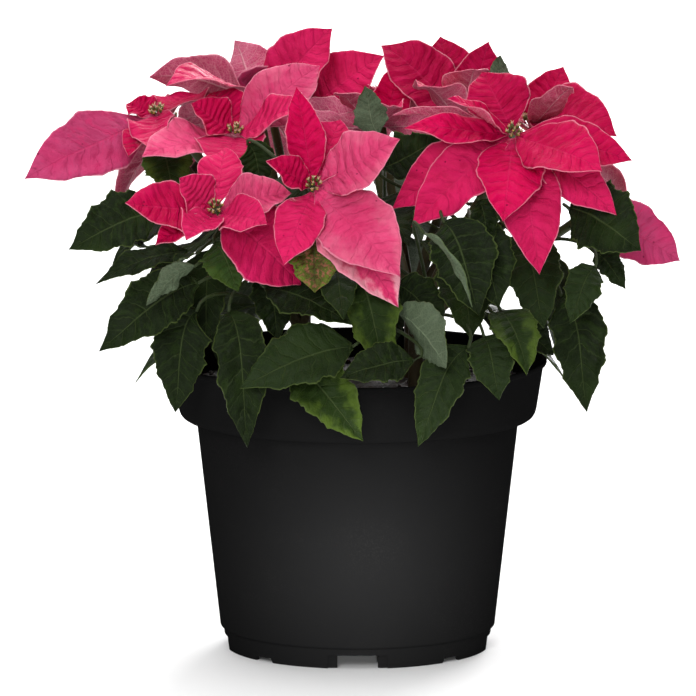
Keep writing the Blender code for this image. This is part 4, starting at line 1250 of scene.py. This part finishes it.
@dataclass
class FlowerCluster:
    """The small true flowers in a bloom's middle: cups with a yellow gland each and fine filaments."""

    materials: tuple[Material, ...]
    cups: int = 7
    cup_radius: float = 1.05
    cup_height: float = 3.2
    cup_sides: int = 12
    cup_profile: tuple[tuple[float, float], ...] = (
        (0.5, 0), (0.85, 0.22), (1.0, 0.5), (0.86, 0.78), (0.55, 0.95), (0.42, 0.9), (0.36, 0.7), (0, 0.66),
    )
    ring: float = 2.5
    low: float = 2.6
    splay: float = 0.42
    gland: Place = (0.62, 0.62, 0.40)
    gland_sink: float = 0.5
    filaments: int = 5
    filament_radii: tuple[float, float] = (0.22, 0.16)
    anther: Place = (0.24, 0.24, 0.20)

    def cup(self, bm: BMesh, place: Matrix, size: float) -> None:
        """Turns one cup: narrow foot, round belly and a mouth that closes in.

        Args:
            bm: The cluster's mesh.
            place: Where the cup's foot is and which way it stands.
            size: Its size against the others.
        """
        radius, height = self.cup_radius * size, self.cup_height * size
        before = set(bm.faces)
        turned(bm, ((r * radius, z * height) for r, z in self.cup_profile), self.cup_sides)
        made = list({vert for face in set(bm.faces) - before for vert in face.verts})
        bmesh.ops.transform(bm, matrix=place, verts=made)

    def drop(self, bm: BMesh, place: Matrix, scale: Place, index: int) -> None:
        """Adds a small rounded lump.

        Args:
            bm: The cluster's mesh.
            place: Where it is and which way it lies.
            scale: Its half sizes in millimetres.
            index: Its material's number.
        """
        before = set(bm.faces)
        size = Matrix.Diagonal((*mm(scale), 1))
        bmesh.ops.create_icosphere(bm, subdivisions=2, radius=1, matrix=place @ size)
        paint(bm, before, index)

    def filament(self, bm: BMesh, foot: Vector, top: Vector) -> None:
        """Adds a thin stalk with its anther.

        Args:
            bm: The cluster's mesh.
            foot: Where it starts.
            top: Where it ends.
        """
        along = top - foot
        low, high = self.filament_radii
        before = set(bm.faces)
        bmesh.ops.create_cone(bm, cap_ends=True, segments=6, radius1=low * MM, radius2=high * MM,
                              depth=along.length, matrix=stood((foot + top) / 2, along))
        paint(bm, before, 2)
        self.drop(bm, stood(top, along), self.anther, 3)

    def floret(self, bm: BMesh, draw: random.Random, heart: Vector, turn: Matrix,
               flat: Vector) -> None:
        """Adds one cup with its gland and its filaments.

        Args:
            bm: The cluster's mesh.
            draw: The cluster's draws.
            heart: The bloom's heart, in metres.
            turn: Turns UP to the way that the bloom opens.
            flat: The cup's direction in the ring, or nothing for the cup in the middle.
        """
        size = draw.uniform(0.82, 1.0)
        foot = heart + turn @ (flat * self.ring + UP * self.low) * MM
        tilt = Vector((draw.uniform(-0.1, 0.1), draw.uniform(-0.1, 0.1), 0))
        stand = (turn @ (UP + flat * self.splay + tilt)).normalized()
        self.cup(bm, stood(foot, stand), size)
        mouth = foot + stand * self.cup_height * size * 0.9 * MM
        aside = turn @ flat if flat.length else stand.orthogonal()
        sink = stand * self.gland_sink * MM
        gland = mouth + aside * self.cup_radius * size * 0.85 * MM - sink
        self.drop(bm, Matrix.Translation(gland) @ turn.to_4x4(), self.gland, 1)
        for number in range(self.filaments):
            swing = math.tau * (number + draw.random()) / self.filaments
            lean = Vector((math.cos(swing), math.sin(swing), 0)) * draw.uniform(0.3, 0.9)
            reach = 1.1 if number else 1.7
            top = mouth + (turn @ lean * reach + stand * draw.uniform(0.5, 1.5)) * MM
            self.filament(bm, mouth - sink, top)

    def build(self, bloom: Bloom) -> Object:
        """Builds the cluster in a bloom's heart.

        Args:
            bloom: The bloom.

        Returns:
            The piece.
        """
        draw = random.Random(bloom.name)
        bm = bmesh.new()
        turn = UP.rotation_difference(bloom.way()).to_matrix()
        for index in range(self.cups + 1):
            angle = math.tau * index / self.cups + draw.uniform(-0.2, 0.2)
            flat = Vector((math.cos(angle), math.sin(angle), 0)) * (index < self.cups)
            self.floret(bm, draw, mm(bloom.heart), turn, flat)
        bmesh.ops.remove_doubles(bm, verts=bm.verts[:], dist=0.002 * MM)
        outward(bm)
        name = bloom.name
        return add_piece("flowers_" + name, bm, self.materials, ["cyathia_" + name])


@dataclass
class Whorls:
    """All the blooms' bracts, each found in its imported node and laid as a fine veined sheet."""

    upper: Material
    under: Material
    layers: tuple[float, ...] = (-1.8, -0.5, 0.8)
    root_reach: float = 2.4
    listed_grid: tuple[int, int] = (45, 14)
    plain_grid: tuple[int, int] = (36, 8)
    quilt: float = 0.80
    ragged: float = 0.13
    teeth: float = 0.05
    fill_turn: float = 137.5
    fill_gap: float = 0.62
    fill_length: tuple[float, float] = (44, 60)
    fill_droop: tuple[float, float] = (-26, -8)
    fill_width: tuple[float, float] = (0.54, 0.66)
    fill_fold: tuple[float, float] = (8, 20)
    dome_height: float = 330
    dome_lean: float = 0.164
    dome_drop: float = 0.0016
    dome_back: float = 130

    def under_dome(self, tip: Vector) -> bool:
        """Whether a tip stays under the dome that the plant's front shows."""
        limit = self.dome_height - self.dome_drop * tip[0] ** 2
        return tip[2] + tip[1] * self.dome_lean < limit and tip[1] < self.dome_back

    def fill(self, bloom: Bloom, draw: random.Random) -> list[Blade]:
        """The bracts of the bloom's far side, spread where no listed bract stands.

        Args:
            bloom: The bloom.
            draw: The draws that all blooms share.

        Returns:
            The bracts.
        """
        heart = Vector(bloom.heart)
        face = bloom.way()
        first = square_to(Vector((0, 0.2, 1)), face)
        second = face.cross(first)
        taken = []
        for blade in bloom.bracts:
            out = Vector(blade.tip) - heart
            taken.append(math.atan2(out.dot(second), out.dot(first)))
        made = []
        for index in range(bloom.fill * 3):
            angle = index * math.radians(self.fill_turn) + draw.uniform(-0.15, 0.15)
            gaps = (abs((angle - other + math.pi) % math.tau - math.pi) for other in taken)
            out = first * math.cos(angle) + second * math.sin(angle)
            if min(gaps, default=math.pi) < self.fill_gap or (bloom.bracts and out.y < 0.1):
                continue
            length = draw.uniform(*self.fill_length)
            lean = math.radians(draw.uniform(*self.fill_droop))
            tip = heart + (out * math.cos(lean) + face * math.sin(lean)) * length
            if not self.under_dome(tip):
                continue
            width = length * draw.uniform(*self.fill_width)
            fold = draw.uniform(*self.fill_fold)
            taken.append(angle)
            made.append(Blade(tuple(tip), width, rise=16, fold=fold, wave=2))
            if len(made) == bloom.fill:
                break
        return made

    def roots(self, bloom: Bloom, blade: Blade, first: int) -> list[Vector]:
        """Where a bract can leave its bloom's pad.

        Args:
            bloom: The bloom.
            blade: The bract.
            first: The number of the layer that is tried first.

        Returns:
            The places, in metres.
        """
        heart, face = mm(bloom.heart), bloom.way()
        out = square_to((mm(blade.tip) - heart).normalized(), face)
        layers = self.layers[first:] + self.layers[:first]
        return [heart + (out * self.root_reach + face * layer) * MM for layer in layers]

    def build(self) -> None:
        """Builds every bloom's bracts."""
        draw = random.Random(SEED + 2)
        sets = [(bloom, blade, LISTED_BRACT) for bloom in BLOOMS for blade in bloom.bracts]
        sets += [(bloom, blade, PLAIN_BRACT) for bloom in BLOOMS for blade in self.fill(bloom, draw)]
        form = (BRACT_UPPER.veins, self.quilt, self.ragged, self.teeth)
        beds = {bloom.name: BladeBed(*form) for bloom in BLOOMS}
        fitters = {bloom.name: Fitter("bloom_" + bloom.name) for bloom in BLOOMS}
        missing = 0
        for index, (bloom, blade, outline) in enumerate(sets):
            roots = self.roots(bloom, blade, index % len(self.layers))
            spine = fitters[bloom.name].fit(blade, roots, bloom.way(), outline, index * GOLDEN % 1)
            if spine is None:
                missing += 1
                continue
            grid = self.listed_grid if outline is LISTED_BRACT else self.plain_grid
            beds[bloom.name].lay(spine, *grid, blade.tone or bloom.tone, index)
        LOG.info("bracts: %d, and %d not found", len(sets) - missing, missing)
        for name, bed in beds.items():
            bed.finish("bracts_" + name, (self.upper, self.under), Slot.BRACT, "bloom_" + name)


@dataclass
class LeafyStems:
    """The four plants' stems, branches, petioles and leaves."""

    upper: Material
    under: Material
    skin: Material
    rings: tuple[Ring, ...] = (
        Ring(254, 108, 72, 6, -15),
        Ring(226, 106, 78, 6, -25),
        Ring(198, 92, 76, 6, -25),
        Ring(256, 50, 66, 4, -90),
        Ring(234, 80, 74, 4, -90),
    )
    ring_depth: float = 0.86
    ring_droop: float = 0.006
    quilt: float = 0.5
    ragged: float = 0.14
    teeth: float = 0.17
    listed_grid: tuple[int, int] = (64, 14)
    plain_grid: tuple[int, int] = (42, 10)
    seed_start: int = 500
    stem_foot: float = 105
    stem_radius: float = 4.6
    stem_taper: float = 0.12
    branch_radii: tuple[float, float] = (3.0, 2.4)
    branch_start: float = -5
    branch_end: float = -4.3
    branch_form: tuple[float, float, float] = (0.22, 0.45, 0.36)
    petiole_radius: float = 1.0
    petiole_drop: float = 12

    def ring_leaf(self, draw: random.Random, ring: Ring, index: int) -> Leaf:
        """A leaf at the plant's side or back, on the nearest plant.

        Args:
            draw: The draws that all rings share.
            ring: Its ring.
            index: Its number in the ring.

        Returns:
            The leaf.
        """
        start = math.radians(ring.front)
        angle = start + (math.pi - 2 * start) * (index + draw.uniform(0.2, 0.8)) / ring.count
        out = Vector((math.cos(angle), math.sin(angle) * self.ring_depth, 0))
        far = ring.reach + draw.uniform(-12, 12)
        height = ring.height + draw.uniform(-9, 9)
        droop = draw.uniform(0.3, 0.8) + (self.rings[0].height - ring.height) * self.ring_droop
        root = out * (far - ring.length * 0.5) + UP * height
        tip = root + (out * math.cos(droop) - UP * math.sin(droop)) * ring.length
        plant = ("back_" if root.y > 0 else "front_") + ("right" if root.x > 0 else "left")
        face = (UP + out) * 0.8 + Vector((-out.y, out.x, 0)) * draw.uniform(-0.5, 0.5)
        width = ring.length * draw.uniform(0.50, 0.60)
        blade = Blade(tuple(tip), width, tuple(face), rise=10, arch=0.14, wave=1.8)
        return Leaf(plant, tuple(root), blade)

    def branches(self) -> dict[str, Path]:
        """Each branch from its plant's fork to under its bloom.

        Returns:
            The branches' paths by bloom name.
        """
        paths = {}
        spread, low, high = self.branch_form
        for bloom in BLOOMS:
            (x, y), fork = PLANTS[bloom.plant]
            face = bloom.way()
            end = mm(bloom.heart) + face * (self.branch_end * MM)
            flat = end - mm((x, y, 0))
            flat.z = 0
            start = mm((x, y, fork + self.branch_start)) + flat.normalized() * MM
            rise = (end - start).z
            first = start + flat * spread + UP * rise * low
            paths[bloom.name] = (start, first, end - face * (rise * high), end)
        return paths

    def stems(self, tubes: dict[str, TubeBed], paths: dict[str, Path]) -> None:
        """Lays each plant's stem and branches.

        Args:
            tubes: The plants' meshes of stems.
            paths: The branches' paths by bloom name.
        """
        for plant, (place, fork) in PLANTS.items():
            low, high = mm((*place, self.stem_foot)), mm((*place, fork))
            span = high - low
            path = (low, low + span / 3, low + span * 2 / 3, high)
            tubes[plant].lay(path, lambda share: self.stem_radius * (1 - self.stem_taper * share), 14, 18,
                             Tone.WOOD, Tone.WOOD)
        thick, thin = self.branch_radii
        for bloom in BLOOMS:
            tubes[bloom.plant].lay(paths[bloom.name], lambda share: thick + (thin - thick) * share, 18, 12,
                                   Tone.WOOD, Tone.STEM)

    def petiole_starts(self, leaf: Leaf, paths: dict[str, Path]) -> list[Vector]:
        """Where a leaf's petiole can start: some places on its plant's branches, the nearest first.

        Args:
            leaf: The leaf.
            paths: The branches' paths by bloom name.

        Returns:
            The places, in metres.
        """
        aim = mm(leaf.root) - UP * self.petiole_drop * MM
        names = [bloom.name for bloom in BLOOMS if bloom.plant == leaf.plant]
        spots = [bezier(paths[name], step / 20)[0] for name in names for step in range(1, 19)]
        return sorted(spots, key=lambda spot: (spot - aim).length)[:32:4]

    def build(self) -> None:
        """Builds each plant's stems and leaves."""
        paths = self.branches()
        tubes = {plant: TubeBed() for plant in PLANTS}
        form = (LEAF_UPPER.veins, self.quilt, self.ragged, self.teeth)
        beds = {plant: BladeBed(*form) for plant in PLANTS}
        fitters = {plant: Fitter("stem_" + plant) for plant in PLANTS}
        self.stems(tubes, paths)
        draw = random.Random(SEED + 1)
        sets = [(leaf, LISTED_LEAF) for leaf in LEAVES]
        sets += [(self.ring_leaf(draw, ring, index), PLAIN_LEAF)
                 for ring in self.rings for index in range(ring.count)]
        missing = 0
        for index, (leaf, outline) in enumerate(sets):
            starts = self.petiole_starts(leaf, paths)
            spine = fitters[leaf.plant].fit(leaf.blade, (mm(leaf.root),), UP, outline,
                                            index * GOLDEN % 1, starts)
            if spine is None:
                missing += 1
                continue
            tubes[leaf.plant].lay(spine.petiole, lambda share: self.petiole_radius * (1.15 - 0.25 * share),
                                  10, 8, Tone.PETIOLE, Tone.PETIOLE)
            grid = self.listed_grid if outline is LISTED_LEAF else self.plain_grid
            tone = leaf.blade.tone or (Tone.MID if index % 5 == 3 else Tone.DARK)
            beds[leaf.plant].lay(spine, *grid, tone, index + self.seed_start)
        LOG.info("leaves: %d, and %d not found", len(sets) - missing, missing)
        for plant in PLANTS:
            tubes[plant].finish("stems_" + plant, self.skin, "stem_" + plant)
            beds[plant].finish("leaves_" + plant, (self.upper, self.under), Slot.LEAF, "stem_" + plant)


def rounded(corners: Sequence[tuple[float, float, float]], steps: int = 4) -> list[tuple[float, float]]:
    """A profile with its corners rounded.

    Args:
        corners: Each corner's radius from the axis, height and how far back the rounding starts.
        steps: How many pieces each rounding has.

    Returns:
        The profile's points.
    """
    points = []
    for index, (x, z, ease) in enumerate(corners):
        here = Vector((x, z))
        if not ease or index in (0, len(corners) - 1):
            points.append((x, z))
            continue
        back = Vector(corners[index - 1][:2]) - here
        ahead = Vector(corners[index + 1][:2]) - here
        start = here + back.normalized() * min(ease, back.length * 0.49)
        end = here + ahead.normalized() * min(ease, ahead.length * 0.49)
        for step in range(steps + 1):
            u = step / steps
            points.append(tuple(start * (1 - u) ** 2 + here * (2 * u * (1 - u)) + end * u * u))
    return points


def lathe(profile: Sequence[tuple[float, float]], steps: int) -> BMesh:
    """Spins a profile of (radius, height) points round Z into a closed solid.

    Args:
        profile: The points, from the axis to the axis.
        steps: How many faces there are round.

    Returns:
        The solid.
    """
    bm = bmesh.new()
    turned(bm, profile, steps)
    bmesh.ops.remove_doubles(bm, verts=bm.verts[:], dist=0.005 * MM)
    outward(bm)
    return bm


@dataclass
class NurseryPot:
    """The moulded pot: foot ring with tunnels, tapering body, deep band and beaded lip."""

    material: Material
    height: float = 162
    rim: float = 105
    wall: float = 1.6
    band_low: float = 99
    band_z: float = 129
    body_top: float = 89.4
    body_low: float = 76.4
    step: float = 14
    foot: float = 74.4
    foot_low: float = 73
    foot_wall: float = 2.4
    floor: float = 8.4
    sides: int = 144
    tunnels: int = 4
    tunnel_height: float = 7.6
    recess_width: float = 33
    recess_depth: float = 1.3
    recess_cut: float = 2.0
    tunnel_top: float = 13
    tunnel_bottom: float = 20
    notch_width: float = 14
    notch_height: float = 2.6
    notch_ease: float = 1.5
    drain_radius: float = 5
    drain_circle: float = 48
    drain_depth: float = 12
    clear: float = 3
    below: float = -1
    sharp_angle: float = 32
    cutters: list[Object] = field(default_factory=list)

    @property
    def inside(self) -> float:
        """Where a cutter starts that goes right through the foot ring, from the axis."""
        return self.foot_low - 2 * self.foot_wall

    def profile(self) -> list[tuple[float, float]]:
        """The pot's section, from the axis under the floor to the axis on it.

        Returns:
            The section's points of (radius, height), with rounded corners.
        """
        band, top, rim, wall = self.band_z, self.height, self.rim, self.wall
        corners = [
            (0, self.floor, 0),
            (self.foot_low - self.foot_wall, self.floor, 0.5),
            (self.foot_low - self.foot_wall, 0, 0.3),
            (self.foot_low, 0, 0.5),
            (self.foot, 11, 0.7),
            (self.body_low - 0.2, 12.2, 0.8),
            (self.body_low, self.step, 0.6),
            (self.body_top, band, 0.8),
            (self.band_low - 2.0, band + 0.4, 2.4),
            (self.band_low, band + 3.4, 2.4),
            (rim - 1.9, top - 3.4, 0.6),
            (rim - 0.1, top - 2.8, 0.7),
            (rim, top - 0.4, 0.9),
            (rim - 1.1, top, 0.4),
            (rim - 1.5, top - 0.6, 0.2),
            (rim - 1.9, top - 0.1, 0.4),
            (rim - 3.0, top - 0.3, 0.7),
            (rim - 3.5, top - 1.6, 0.5),
            (self.band_low - wall, band + 4.4, 1.6),
            (self.band_low - 3.2 - wall, band + 2.0, 1.2),
            (self.body_top - wall, band + 1.6, 0.8),
            (self.body_low - wall, self.step, 0.6),
            (self.foot - wall, 12, 0.6),
            (self.foot - wall - 0.4, self.floor + wall, 0.6),
            (0, self.floor + wall, 0),
        ]
        return rounded(corners)

    def cutter(self, outline: Sequence[tuple[float, float]], start: float, angle: float) -> None:
        """Adds a prism that cuts the foot ring, square to it, to a little past its outside.

        Args:
            outline: The prism's section as points of (place along the ring, height).
            start: Where it starts, from the axis.
            angle: Its direction from the axis.
        """
        bm = bmesh.new()
        face = bm.faces.new([bm.verts.new(mm((start, y, z))) for y, z in outline])
        made = bmesh.ops.extrude_face_region(bm, geom=[face])["geom"]
        verts = [item for item in made if isinstance(item, BMVert)]
        bmesh.ops.translate(bm, verts=verts, vec=mm((self.foot + self.clear - start, 0, 0)))
        bmesh.ops.rotate(bm, verts=bm.verts[:], matrix=Matrix.Rotation(angle, 3, "Z"))
        self.keep_cutter(bm)

    def keep_cutter(self, bm: BMesh) -> None:
        """Makes a closed bmesh a cutter."""
        outward(bm)
        self.cutters.append(bpy.data.objects.new("cutter", mesh_of("cutter", bm)))

    def cut(self, piece: Object) -> None:
        """Cuts the pot with every cutter, and removes them.

        Args:
            piece: The pot.
        """
        group = bpy.data.collections.new("pot_cutters")
        bpy.context.scene.collection.children.link(group)
        for cutter in self.cutters:
            group.objects.link(cutter)
        knife = piece.modifiers.new("cut", "BOOLEAN")
        knife.operation = "DIFFERENCE"
        knife.operand_type = "COLLECTION"
        knife.collection = group
        depsgraph = bpy.context.evaluated_depsgraph_get()
        mesh = bpy.data.meshes.new_from_object(piece.evaluated_get(depsgraph))
        piece.modifiers.clear()
        piece.data = mesh
        for cutter in self.cutters:
            bpy.data.objects.remove(cutter, do_unlink=True)
        bpy.data.collections.remove(group)

    def tunnel(self, angle: float) -> None:
        """Adds the cutters of a flat recess in the foot ring and of the flared tunnel in it.

        Args:
            angle: Their direction from the axis.
        """
        half, top = self.recess_width / 2, self.tunnel_height
        recess = ((-half, self.below), (half, self.below), (half, top), (-half, top))
        self.cutter(recess, self.foot_low - self.recess_depth - self.recess_cut, angle)
        narrow, wide = self.tunnel_top / 2, self.tunnel_bottom / 2
        flare = [(narrow + (wide - narrow) * (1 - u) ** 2, top * u) for u in (0, 0.2, 0.4, 0.6, 0.8, 1)]
        section = [(-y, z) for y, z in flare] + [(y, z) for y, z in reversed(flare)]
        self.cutter([(-wide, self.below), *section, (wide, self.below)], self.inside, angle)

    def notch(self, angle: float) -> None:
        """Adds the cutter of a shallow notch under the foot ring.

        Args:
            angle: Its direction from the axis.
        """
        half, top = self.notch_width / 2, self.notch_height
        short = half - self.notch_ease
        section = ((-half, self.below), (half, self.below), (short, top), (-short, top))
        self.cutter(section, self.inside, angle)

    def drain(self, angle: float) -> None:
        """Adds the cutter of a round hole in the floor.

        Args:
            angle: Its direction from the axis.
        """
        bm = bmesh.new()
        spot = Vector((math.cos(angle), math.sin(angle), 0)) * self.drain_circle + UP * self.floor
        radius = self.drain_radius * MM
        bmesh.ops.create_cone(bm, cap_ends=True, segments=32, radius1=radius, radius2=radius,
                              depth=self.drain_depth * MM, matrix=Matrix.Translation(mm(spot)))
        self.keep_cutter(bm)

    def build(self) -> Object:
        """Builds the pot.

        Returns:
            The piece.
        """
        solid = lathe(self.profile(), self.sides)
        piece = add_piece("pot_moulding", solid, [self.material], ["pot"])
        for index in range(self.tunnels):
            angle = math.tau * index / self.tunnels - math.pi / 2
            between = angle + math.pi / self.tunnels
            self.tunnel(angle)
            self.notch(between)
            self.drain(between)
        self.cut(piece)
        piece.data.shade_smooth()
        piece.data.set_sharp_from_angle(angle=math.radians(self.sharp_angle))
        return piece


@dataclass
class PeatBed:
    """The compost that fills the pot, with loose crumbs and a few white grains on it."""

    material: Material
    crumb_materials: tuple[Material, ...]
    top: float = 146
    relief: float = 1.5
    sides: int = 96
    edge: float = 98
    flank: tuple[tuple[float, float], ...] = (
        (0, 10.6), (71.4, 10.6), (74.2, 15), (87.1, 130.9), (93.6, 131.6), (96.2, 134.4), (98, 144.5),
    )
    rings: int = 34
    ring_ease: float = 0.85
    crumbs: int = 420
    crumb_sizes: tuple[float, float] = (0.8, 2.4)
    crumb_margin: float = 3
    crumb_rough: float = 0.18
    white_share: float = 0.03

    def height(self, x: float, y: float) -> float:
        """The peat's height over the ground at a place, in millimetres."""
        rough = noise.fractal(Vector((x * 0.05, y * 0.05, 3)), 0.8, 2.1, 4)
        return self.top + max(-1, min(1, rough * 1.6)) * self.relief

    def fill(self) -> None:
        """Builds the peat with its rough surface."""
        shares = (1 - step / self.rings for step in range(self.rings + 1))
        surface = [(self.edge * share**self.ring_ease, self.top) for share in shares]
        bm = lathe([*self.flank, *surface], self.sides)
        for vert in bm.verts:
            if vert.co.z > (self.top - 0.5) * MM:
                vert.co.z = self.height(vert.co.x / MM, vert.co.y / MM) * MM
        add_piece("peat_fill", bm, [self.material], ["soil"])

    def crumb(self, bm: BMesh, draw: random.Random) -> None:
        """Adds a rough crumb that lies on the peat, or now and then a white grain.

        Args:
            bm: The crumbs' mesh.
            draw: Their draws.
        """
        reach = (self.edge - self.crumb_margin) * math.sqrt(draw.random())
        angle = draw.uniform(0, math.tau)
        x, y = reach * math.cos(angle), reach * math.sin(angle)
        size = draw.uniform(*self.crumb_sizes)
        scale = Vector((size, size * draw.uniform(0.5, 1), size * draw.uniform(0.4, 0.8)))
        swing, tilt = draw.uniform(0, math.tau), draw.uniform(-0.5, 0.5)
        turn = Matrix.Rotation(swing, 4, "Z") @ Matrix.Rotation(tilt, 4, "X")
        spot = Matrix.Translation(mm((x, y, self.height(x, y) + scale.z * 0.4)))
        place = spot @ turn @ Matrix.Diagonal((*mm(scale), 1))
        before = set(bm.faces)
        rough = self.crumb_rough
        for vert in bmesh.ops.create_icosphere(bm, subdivisions=1, radius=1, matrix=place)["verts"]:
            vert.co += Vector([draw.uniform(-rough, rough) * size * MM for _ in range(3)])
        paint(bm, before, int(draw.random() < self.white_share))

    def build(self) -> None:
        """Builds the peat and its crumbs."""
        self.fill()
        draw = random.Random(SEED)
        bm = bmesh.new()
        for _ in range(self.crumbs):
            self.crumb(bm, draw)
        piece = add_piece("peat_crumbs", bm, self.crumb_materials)
        piece.data.shade_flat()


@dataclass
class Studio:
    """The pale floor, the soft lights and the camera."""

    elevation: float = 9.3
    distance: float = 6.0
    target: Place = (-5.3, 0, 167)
    pixels: int = 696
    pixel_size: float = 0.554
    sensor: float = 36
    ambient: float = 0.25

    def floor(self) -> None:
        """Lays the floor."""
        shader = Shader("pale_floor")
        shader.set(base_color=(0.92, 0.92, 0.92, 1), roughness=0.7)
        bm = bmesh.new()
        bmesh.ops.create_grid(bm, x_segments=2, y_segments=2, size=14)
        floor = linked("floor", mesh_of("floor", bm))
        floor.data.materials.append(shader.material)

    @staticmethod
    def hang(data: bpy.types.Light, power: float, place: Place, aim: Place) -> None:
        """Puts a light in its place.

        Args:
            data: The light.
            power: Its power in watts.
            place: Where it is, in metres.
            aim: What it looks at, in metres.
        """
        data.energy = power
        light = linked(data.name, data)
        light.location = place
        light.rotation_euler = (Vector(aim) - Vector(place)).to_track_quat("-Z", "Y").to_euler()

    def light(self, name: str, place: Place, size: float, power: float, aim: Place) -> None:
        """Hangs a square soft light.

        Args:
            name: The light's name.
            place: Where it hangs, in metres.
            size: Its side, in metres.
            power: Its power in watts.
            aim: What it looks at, in metres.
        """
        data = bpy.data.lights.new(name, "AREA")
        data.size = size
        self.hang(data, power, place, aim)

    def beam(self, name: str, place: Place, spread: float, power: float, aim: Place) -> None:
        """Sets up a soft-edged beam.

        Args:
            name: The light's name.
            place: Where it stands, in metres.
            spread: Its whole angle, in degrees.
            power: Its power in watts.
            aim: What it looks at, in metres.
        """
        data = bpy.data.lights.new(name, "SPOT")
        data.spot_size = math.radians(spread)
        data.spot_blend = 1
        data.shadow_soft_size = 0.05
        self.hang(data, power, place, aim)

    def camera(self) -> None:
        """Stands the camera at the photograph's angle."""
        lift = math.radians(self.elevation)
        data = bpy.data.cameras.new("camera")
        data.sensor_width = self.sensor
        data.lens = self.sensor * self.distance / (self.pixels * self.pixel_size * MM)
        data.clip_end = 60
        camera = linked("camera", data)
        camera.location = mm(self.target) + Vector((0, -math.cos(lift), math.sin(lift))) * self.distance
        camera.rotation_euler = (math.pi / 2 - lift, 0, 0)
        bpy.context.scene.camera = camera

    def build(self) -> None:
        """Sets up the studio."""
        scene = bpy.context.scene
        scene.view_settings.view_transform = "Standard"
        world = bpy.data.worlds.new("studio")
        world.use_nodes = True
        background = world.node_tree.nodes["Background"]
        background.inputs["Color"].default_value = (1, 1, 1, 1)
        background.inputs["Strength"].default_value = self.ambient
        scene.world = world
        self.floor()
        self.light("overhead", (0, -0.3, 4.2), 5.0, 165, (0, -0.3, 0))
        self.light("front", (-0.9, -4.6, 2.3), 1.5, 130, (0, 0, 0.17))
        self.light("backdrop", (0, 5.5, 4.0), 7.0, 420, (0, 5.5, 0))
        self.light("back", (1.4, 4.2, 1.7), 1.8, 130, (0, 0, 0.12))
        self.beam("pot_beam", (0.1, -4.2, 0.30), 2.15, 2600, (0.001, 0, 0.056))
        self.camera()


def main() -> None:
    """Builds the plant, the pot and the studio."""
    logging.basicConfig(level=logging.INFO, format="%(name)s %(message)s")
    Studio().build()
    NurseryPot(PlasticFinish().material()).build()
    peat = PeatFinish().material()
    grains = FlowerFinish("white_grain", (0.35, 0.33, 0.30), (0.55, 0.53, 0.50), 0.8).material()
    crumbs = PeatFinish("peat_crumb", (0.016, 0.010, 0.007), (0.075, 0.048, 0.030)).material()
    PeatBed(peat, (crumbs, grains)).build()
    LeafyStems(LEAF_UPPER.material(), LEAF_UNDER.material(), StemFinish().material()).build()
    Whorls(BRACT_UPPER.material(), BRACT_UNDER.material()).build()
    waxes = (
        FlowerFinish("cup_wax", (0.055, 0.050, 0.009), (0.12, 0.12, 0.022), 0.40),
        FlowerFinish("gland_wax", (0.28, 0.20, 0.020), (0.42, 0.31, 0.045), 0.30),
        FlowerFinish("filament", (0.60, 0.32, 0.24), (0.80, 0.68, 0.52), 0.5),
        FlowerFinish("anther", (0.22, 0.15, 0.03), (0.50, 0.38, 0.14), 0.6),
    )
    cluster = FlowerCluster(tuple(wax.material() for wax in waxes))
    for bloom in BLOOMS:
        cluster.build(bloom)


if __name__ == "__main__":
    main()
